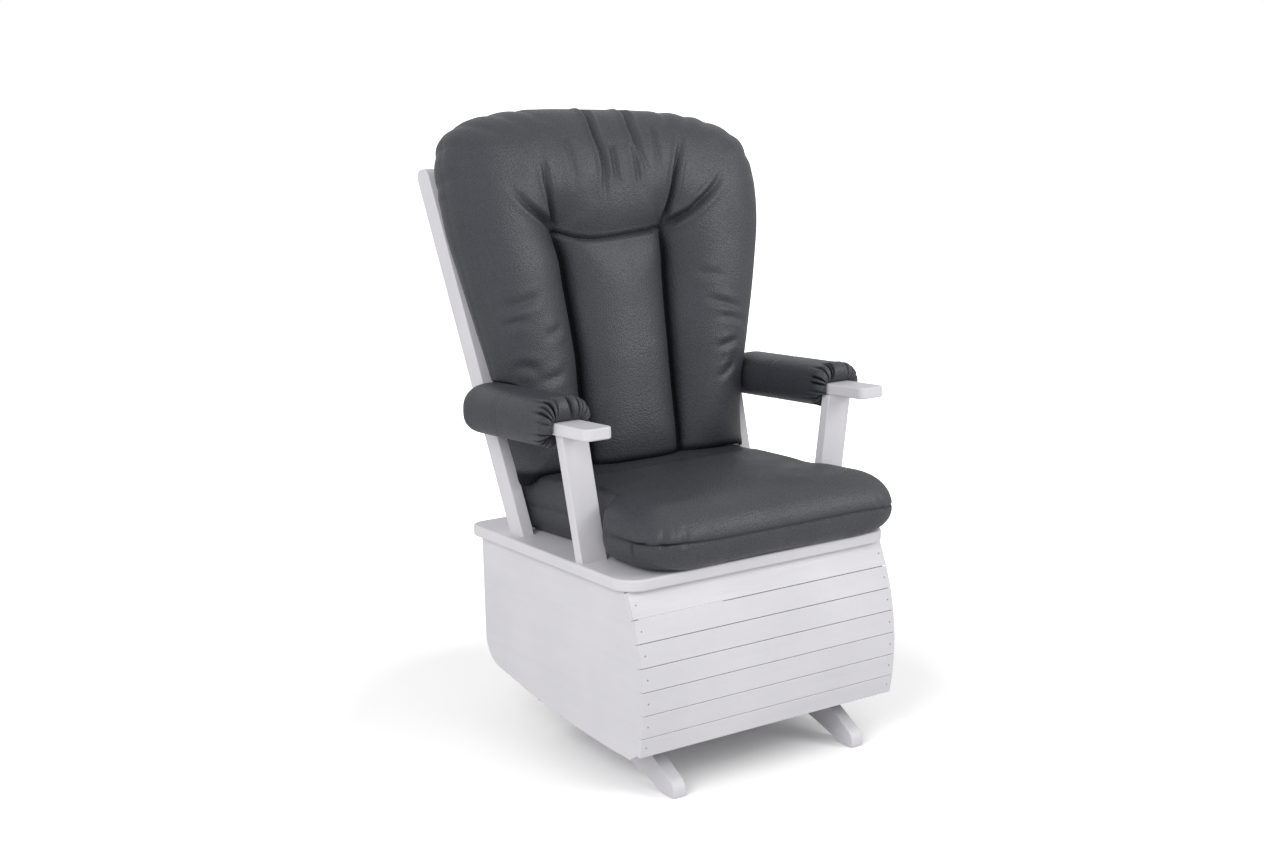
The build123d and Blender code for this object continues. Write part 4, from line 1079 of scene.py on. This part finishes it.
class GLIDER_OT_seat_cushion(bpy.types.Operator):
    """Stuff and sew the seat cushion"""

    bl_idname = "glider.seat_cushion"
    bl_label = "Seat cushion"

    def execute(self, context):
        upholstery = context.scene.glider_upholstery
        piece = self.blank()
        skin = Skin(piece)
        x, y, z = skin.points.T
        on_deck = 1 - smoothstep(z, deck_top + 0.002, deck_top + 0.012)
        beside_posts = smoothstep(np.abs(x), 0.205, 0.216) * smoothstep(y, -0.17, -0.15)
        seam = bell(z, 0.413, 0.022) * smoothstep(1 - np.abs(skin.out[:, 2]), 0.1, 0.4)
        ears = 0.85 * smoothstep(np.abs(x), 0.09, 0.18) * smoothstep(-y, 0.0, 0.10)
        stuff(skin, upholstery.pressure, 0.006, np.maximum.reduce((on_deck, beside_posts, seam, ears)))
        skin.even(20)
        refine(piece)
        skin.read()
        fold_and_shade = self.sew(skin)
        self.keep_clear(skin)
        finish_cushion(piece, "seat_cushion", fold_and_shade, context)
        return {"FINISHED"}

    def seam_height(self, places):
        """Height of the seam between the top panel and the band."""
        x, y = places[:, 0], places[:, 1]
        left_rise, right_fall = 0.006 * smoothstep(-x, 0.10, 0.24), 0.005 * smoothstep(x, 0.18, 0.27)
        return band_seam + left_rise - right_fall - 0.005 * smoothstep(y, 0, 0.1)

    def blank(self):
        """Unfilled cover: crowned top panel, band and flat underside."""
        columns = spaced(130, ((0.0, 0.06, 2.5), (1.0, 0.06, 2.5)))
        rows = spaced(110, ((0.0, 0.06, 2.5), (1.0, 0.06, 2.5)))
        panel, edge = cut_panel(seat_outline, (1, 12, 18, 29), columns, rows)
        places = panel.reshape(-1, 2)
        top = np.column_stack((places, self.top_height(places, edge.ravel()))).reshape(*edge.shape, 3)
        low = deck_top + clearance
        inward = np.array((0.0, -0.10)) - places
        inward /= np.linalg.norm(inward, axis=1).clip(0.01)[:, None]
        draw = self.under_curl(places)
        under = places + inward * (draw * np.exp(-edge.ravel() / 0.09))[:, None]
        bottom = np.column_stack((under, np.full(len(places), low))).reshape(*edge.shape, 3)
        rim = rim_of(np.arange(len(places)).reshape(edge.shape))
        seam = self.seam_height(places[rim])
        bands = []
        for turn in np.linspace(0, math.pi / 2, 13)[1:]:
            drawn = draw[rim] * (1 - math.cos(turn)) - 0.002 * math.sin(2 * turn)
            height = seam + (low - seam) * math.sin(turn)
            bands.append(np.column_stack((places[rim] + inward[rim] * drawn[:, None], height)))
        return sewn_skin("seat_cushion_cover", top, bands, bottom)

    def under_curl(self, places):
        """How far the band curls in under the cushion, furthest at the front corners."""
        x, y = places.T
        ahead = smoothstep(-y, 0.12, 0.20)
        ears = curl_left * smoothstep(-x, 0.17, 0.23) + curl_right * smoothstep(x, 0.20, 0.27)
        sides = curl_sides * smoothstep(np.abs(x), 0.17, 0.22) * (1 - ahead)
        return curl_round + sides + (curl_front + ears) * ahead

    def top_height(self, places, edge):
        """Height of the crowned top panel, from the seam round its rim to the middle."""
        x, y = places.T
        rim = self.seam_height(places)
        crown = np.interp(y, crown_along, crown_high)
        rim_line = closed_line(seat_outline)
        ahead = rim_line[rim_line[:, 1] < -0.2]
        turn = np.argmax(np.linalg.norm(np.diff(ahead, axis=0), axis=1)) + 1
        ahead = np.roll(ahead, -turn, axis=0)
        hull = np.vstack(([(ahead[0, 0], 0.11)], ahead, [(ahead[-1, 0], 0.11)]))
        outer, _ = near_line(places, hull)
        crown = crown - 0.005 * smoothstep(x, 0.10, 0.20) * smoothstep(y, -0.23, -0.13)
        crown = crown - 0.006 * smoothstep(x, 0.19, 0.25) * smoothstep(y, -0.26, -0.17)
        side = smoothstep(np.abs(x - 0.018), 0.12, 0.24)
        more = np.where(x < 0, -0.004 + 0.024 * smoothstep(-y, 0.16, 0.30), 0.012)
        roll = round_off(outer / (front_round + more * side))
        roll = np.minimum(roll, round_off(edge / (side_round - rear_tighter * smoothstep(y, 0.0, 0.06))))
        return rim + (crown - rim) * roll

    def sew(self, skin):
        """Draw in the seam of the band; gives the painted shade along the seam and the band's joins."""
        x, y, z = skin.points.T
        upright = smoothstep(1 - np.abs(skin.out[:, 2]), 0.05, 0.3)
        gap = np.abs(z - self.seam_height(skin.points))
        band = upright * smoothstep(-y, -0.10, -0.06)
        skin.push(-band_draw * np.exp(-gap / band_width) * band)
        skin.write()
        for line, depth in band_joins:
            crease(skin, skin.points, line, depth, join_width, join_lip, (0.0, 0.2), None, True)
        for line, depth, width in seat_pleats:
            crease(skin, skin.points, line, depth, width, depth * 0.5, (0.0, 0.6))
        # Painted shade along the band's seam, and below along the band's upright joins.
        fold_and_shade = np.exp(-gap / 0.0013) * band
        for line, depth in band_joins:
            beside, _ = near_line(skin.points, np.array(line))
            fold_and_shade = np.maximum(fold_and_shade, 0.8 * np.exp(-beside / 0.0016))
        skin.write()
        return fold_and_shade

    def keep_clear(self, skin):
        """Stay on the deck and between the posts."""
        x, y, z = skin.points.T
        z = np.maximum(z, deck_top + 0.0004)
        inner = post_low.x - clearance
        beside = (y > post_low.y - 0.004) & (y < post_high.y + 0.002)
        x = np.where(beside, np.clip(x, -inner, inner), x)
        x = np.where(y > 0.02, np.clip(x, -between_stiles, between_stiles), x)
        z = np.minimum(z, seat_top + 0.0045 - 0.013 * smoothstep(y, -0.06, 0.022))
        skin.points = np.column_stack((x, y, z))
        skin.write()


def arm_top(y):
    """Height of the arm board's top at this place along it."""
    return arm_high.z - (y - arm_low.y) * arm_slope


def rounded_loop(half_width, half_height, power, count):
    """Closed loop between a box and an oval, as across and up from its middle."""
    turn = np.linspace(0, 2 * math.pi, count, endpoint=False)
    side, up = np.cos(turn), np.sin(turn)
    across = np.sign(side) * np.abs(side) ** (2 / power) * half_width
    rise = np.sign(up) * np.abs(up) ** (2 / power) * half_height
    return np.column_stack((across, rise))


# Each arm pad: half width, half height, lift over the board, set-back under it, loss at the rear and the seed
# of its folds
pad_forms = {
    -1: (0.0465, 0.0425, 0.0070, 0.028, pad_shorter, 5),
    1: (0.0475, 0.0385, 0.0045, 0.016, 0.0, 11),
}

# Stitched lines across an arm pad, with their strength, and how wide and deep they are
sleeve_seams = ((0.012, 1.0), (0.021, 0.7))
sleeve_seam_size = 0.0018


class GLIDER_OT_arm_pads(bpy.types.Operator):
    """Sew the slip-on arm pads, gathered at the front"""

    bl_idname = "glider.arm_pads"
    bl_label = "Arm pads"

    def execute(self, context):
        for side, name in ((-1, "left_arm_pad"), (1, "right_arm_pad")):
            piece = new_piece(name + "_cover", self.sleeve(side))
            refine(piece)
            # Painted shade of the pleats and of the lining, carried over from the sleeve.
            fold_and_shade = np.empty(len(piece.data.vertices), np.float32)
            piece.data.attributes["gather_shade"].data.foreach_get("value", fold_and_shade)
            finish_cushion(piece, name, fold_and_shade, context)
        return {"FINISHED"}

    def sleeve(self, side):
        """Closed sleeve round the arm board: gathered front, outside, sewn rear and lining."""
        count = 240
        middle = (arm_low.x + arm_high.x) / 2
        board = rounded_loop((arm_high.x - arm_low.x) / 2 + 0.001, 0.0107, 7, count)
        width, height, lift, back_set, loss, seed = pad_forms[side]
        full = rounded_loop(width, height, 2.5, count)
        turn = np.linspace(0, 2 * math.pi, count, endpoint=False)
        folds, reach = self.pleats(turn, seed)
        below = smoothstep(-np.sin(turn), 0.2, 0.9)
        front, rear = pad_low.y, pad_high.y - loss
        points, gather_shade = [], []
        for y, share, depth, past in self.rows(front, rear):
            fold_and_shade = (folds * np.exp(-past / reach)).max(1) - 0.2 * math.exp(-past / 0.009)
            # Painted shade down in the pleats of the gathered front.
            gather_shade.append(np.maximum(fold_and_shade, 0) * depth * 115)
            loop = board + (full - board) * share
            size = np.linalg.norm(loop, axis=1)
            drawn = sum(strength * bell(y, place, sleeve_seam_size) for place, strength in sleeve_seams)
            tight = 1 - sleeve_seam_size * drawn / size
            loop = loop * ((1 - depth * fold_and_shade / size) * tight)[:, None]
            under = (1 - smoothstep(np.array([y]), front, front + 0.06)[0]) * below * back_set
            along = y + under + depth * 0.8 * np.maximum(fold_and_shade, 0)
            height = arm_top(y) - board_middle + lift * share + loop[:, 1]
            points.append(np.column_stack((middle + loop[:, 0], along, height)))
        for y in np.linspace(rear - 0.003, front + 0.014, 24):
            inset = below * back_set * float(y < front + 0.03)
            height = arm_top(y) - board_middle + board[:, 1]
            points.append(np.column_stack((middle + board[:, 0], y + inset, height)))
            # Painted shade over the whole lining inside the sleeve.
            gather_shade.append(np.full(count, 0.6))
        total = len(points)
        points = self.keep_clear(np.vstack(points))
        points[:, 0] *= side
        spots = np.arange(total * count).reshape(total, count)
        after = np.roll(spots, -1, 0)
        faces = np.stack((spots, after, np.roll(after, -1, 1), np.roll(spots, -1, 1)), -1).reshape(-1, 4)
        mesh = closed_mesh("arm_pad_sleeve", points, faces)
        # Store the painted shade as a point attribute.
        depth = mesh.attributes.new("gather_shade", "FLOAT", "POINT")
        depth.data.foreach_set("value", np.concatenate(gather_shade).astype(np.float32))
        return mesh

    def pleats(self, turn, seed):
        """Folds round the gathered end, 0 between them and near 1 in each, and how far each runs back."""
        rng = np.random.default_rng(seed)
        number = 19
        places = (np.arange(number) + rng.uniform(-0.36, 0.36, number)) / number * 2 * math.pi
        strength = rng.uniform(0.45, 1.25, number)
        width = rng.uniform(0.030, 0.055, number)
        gap = np.abs((turn[:, None] - places[None, :] + math.pi) % (2 * math.pi) - math.pi)
        return np.exp(-(gap / width) ** 1.4) * strength, rng.uniform(0.004, 0.012, number)

    def rows(self, front, rear):
        """Places along the sleeve: distance, fullness, depth of the folds and distance past the gathers."""
        mouth, deepest, rear_round_off = 0.42, 0.0085, 0.026
        rows = []
        for t in np.arange(8) / 8:
            rows.append((front + 0.007 * (1 - t) ** 2, mouth * t, 0.0015 + 0.0070 * t, 0.0))
        for turn in np.arange(15) / 14 * math.pi / 2:
            fullness = mouth + (1 - mouth) * math.sin(turn)
            rows.append((front + 0.018 * (1 - math.cos(turn)), fullness, deepest, 0.0))
        start, end = rows[-1][0], rear - rear_round_off
        for step in range(1, 46):
            y = start + (end - start) * step / 46
            rows.append((y, 1.0, deepest, y - start))
        for turn in np.arange(14) / 13 * math.pi / 2:
            rows.append((end + rear_round_off * math.sin(turn), math.cos(turn) ** 0.62, 0.0, 0.1))
        return rows

    def keep_clear(self, points):
        """Stay behind the arm post and before the back stile."""
        x, y, z = points.T
        beside = (x > post_low.x - 0.004) & (x < post_high.x + 0.004) & (z < arm_top(y) - 0.0185)
        y = np.where(beside, np.maximum(y, post_high.y + 0.001), y)
        stile = back_foot.y + (z - back_foot.z) * stile_slope - 0.0015
        y = np.where(x < stile_inner, np.minimum(y, stile), y)
        return np.column_stack((x, y, z))


class GLIDER_OT_stitches(bpy.types.Operator):
    """Stitch the cross seam of the back cushion"""

    bl_idname = "glider.stitches"
    bl_label = "Stitches"

    def execute(self, context):
        upholstery = context.scene.glider_upholstery
        recline = upholstery.recline
        places = drawn_line(cross_seam) - (0, stitch_row)
        out = np.full((len(places), 1), 0.25)
        starts = off_back(np.column_stack((places, out)), recline)
        inward = Vector((0, math.cos(recline), -math.sin(recline)))
        points, outward = self.lay(bpy.data.objects["back_cushion_cover"], starts, inward)
        edges = [(spot, spot + 1) for spot in range(len(points) - 1)]
        material = two_tone("thread", 1500.0, (0.07, 0.07, 0.078), (0.13, 0.13, 0.14), 0.6, 0.75)
        values = {"Stitch Length": upholstery.stitch_length, "Stitch Pitch": upholstery.stitch_pitch,
                  "Thread Radius": upholstery.stitch_radius, "Finish": material}
        stitches = grow("seam_stitches", points, edges, outward, stitch_tree(), values)
        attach(stitches, "seat")
        return {"FINISHED"}

    def lay(self, cover, starts, direction):
        """Points on a cover straight in from the starts, with their outward directions."""
        tree = BVHTree.FromPolygons([vertex.co for vertex in cover.data.vertices],
                                    [polygon.vertices for polygon in cover.data.polygons])
        hits = [tree.ray_cast(Vector(start), direction) for start in starts]
        hits = [hit for hit in hits if hit[0] is not None]
        return [hit[0] for hit in hits], [hit[1] for hit in hits]


class GLIDER_OT_stage(bpy.types.Operator):
    """Set up the floor, the light and the camera"""

    bl_idname = "glider.stage"
    bl_label = "Studio"

    def execute(self, context):
        scene = context.scene
        stage = scene.glider_stage
        scene.view_settings.view_transform = "Standard"
        self.floor(stage)
        self.room(scene, stage)
        self.lamp("key_lamp", (-3.6, -1.7, 2.6), 2.6, stage.key_power).visible_glossy = False
        self.lamp("front_lamp", (2.3, -2.9, 2.2), 1.7, stage.front_power)
        self.camera(scene, stage)
        return {"FINISHED"}

    def floor(self, stage):
        """White floor that keeps the chair's soft shadow."""
        half = stage.floor_size / 2
        corners = [(-half, -half, 0), (half, -half, 0), (half, half, 0), (-half, half, 0)]
        mesh = bpy.data.meshes.new("floor")
        mesh.from_pydata(corners, [], [(0, 1, 2, 3)])
        floor = new_piece("floor", mesh)
        material = bpy.data.materials.new("studio_floor")
        tree = empty_tree(material)
        room = add_node(tree, "ShaderNodeBsdfDiffuse", {"Color": (0.82, 0.82, 0.82, 1)})
        seen = add_node(tree, "ShaderNodeBsdfDiffuse", {"Color": (1.3, 1.3, 1.3, 1)})
        place = tree.nodes.new("ShaderNodeTexCoord")
        distance = add_node(tree, "ShaderNodeVectorMath",
                            links={0: place.outputs["Object"]}, operation="LENGTH")
        level = ranged(tree, distance.outputs["Value"], 0.55, 1.5, 0.0, 0.9)
        glow = add_node(tree, "ShaderNodeEmission", {"Color": (1, 1, 1, 1)}, {"Strength": level})
        white = add_node(tree, "ShaderNodeAddShader", links={0: seen.outputs[0], 1: glow.outputs[0]})
        path = tree.nodes.new("ShaderNodeLightPath")
        either = either_shader(tree, path.outputs["Is Camera Ray"], room, white)
        add_node(tree, "ShaderNodeOutputMaterial", links={"Surface": either.outputs[0]})
        mesh.materials.append(material)

    def room(self, scene, stage):
        """Even light all round, seen as white by the camera and dimmer in gloss."""
        world = bpy.data.worlds.new("white_room")
        scene.world = world
        tree = empty_tree(world)
        light, gloss, seen = (
            add_node(tree, "ShaderNodeBackground", {"Color": (1, 1, 1, 1), "Strength": level})
            for level in (stage.sky_light, stage.gloss_light, 1.0))
        path = tree.nodes.new("ShaderNodeLightPath")
        shine = either_shader(tree, path.outputs["Is Glossy Ray"], light, gloss)
        either = either_shader(tree, path.outputs["Is Camera Ray"], shine, seen)
        add_node(tree, "ShaderNodeOutputWorld", links={"Surface": either.outputs[0]})

    def lamp(self, name, place, size, power):
        """Large soft lamp that points at the chair."""
        data = bpy.data.lights.new(name, "AREA")
        data.shape = "SQUARE"
        data.size = size
        data.energy = power
        lamp = bpy.data.objects.new(name, data)
        bpy.context.scene.collection.objects.link(lamp)
        lamp.location = place
        chair_middle = Vector((0, 0, 0.55))
        lamp.rotation_euler = (chair_middle - Vector(place)).to_track_quat("-Z", "Y").to_euler()
        return lamp

    def camera(self, scene, stage):
        """Camera at the place and angle of the photograph."""
        heading, tilt, roll = stage.camera_turn
        level = math.cos(tilt)
        behind = Vector((math.sin(heading) * level, -math.cos(heading) * level, math.sin(tilt)))
        right = (-behind).cross(Vector((0, 0, 1))).normalized()
        up = right.cross(-behind)
        turned_right = math.cos(roll) * right + math.sin(roll) * up
        turned_up = math.cos(roll) * up - math.sin(roll) * right
        data = bpy.data.cameras.new("camera")
        data.sensor_fit = "HORIZONTAL"
        data.sensor_width = 36.0
        data.lens = stage.lens
        data.clip_end = 200.0
        camera = bpy.data.objects.new("camera", data)
        scene.collection.objects.link(camera)
        turn = Matrix((turned_right, turned_up, behind)).transposed().to_4x4()
        camera.matrix_world = Matrix.Translation(Vector(stage.camera_place)) @ turn
        scene.camera = camera


class GLIDER_PT_maker(bpy.types.Panel):
    """Pieces of the glider chair and their sizes and colours"""

    bl_idname = "GLIDER_PT_maker"
    bl_label = "Glider chair"
    bl_space_type = "VIEW_3D"
    bl_region_type = "UI"
    bl_category = "Glider"

    def draw(self, context):
        for group in (context.scene.glider_wood, context.scene.glider_upholstery, context.scene.glider_stage):
            box = self.layout.box()
            for name in group.__annotations__:
                box.prop(group, name)
        for operator in operators:
            self.layout.operator(operator.bl_idname)


groups = {"glider_wood": GliderWood, "glider_upholstery": GliderUpholstery, "glider_stage": GliderStage}
operators = [
    GLIDER_OT_painted_wood,
    GLIDER_OT_slat_nails,
    GLIDER_OT_seat_cushion,
    GLIDER_OT_back_cushion,
    GLIDER_OT_arm_pads,
    GLIDER_OT_stitches,
    GLIDER_OT_stage,
]


def register():
    """Add the settings, the operators and the panel."""
    for name, group in groups.items():
        bpy.utils.register_class(group)
        setattr(bpy.types.Scene, name, bpy.props.PointerProperty(type=group))
    for operator in operators:
        bpy.utils.register_class(operator)
    bpy.utils.register_class(GLIDER_PT_maker)


def unregister():
    """Take the panel, the operators and the settings away again."""
    bpy.utils.unregister_class(GLIDER_PT_maker)
    for operator in reversed(operators):
        bpy.utils.unregister_class(operator)
    for name, group in groups.items():
        delattr(bpy.types.Scene, name)
        bpy.utils.unregister_class(group)


def main():
    """Dress the chair and set up the studio."""
    register()
    bpy.ops.glider.painted_wood()
    bpy.ops.glider.slat_nails()
    bpy.ops.glider.seat_cushion()
    bpy.ops.glider.back_cushion()
    bpy.ops.glider.arm_pads()
    bpy.ops.glider.stitches()
    bpy.ops.glider.stage()


if __name__ == "__main__":
    main()
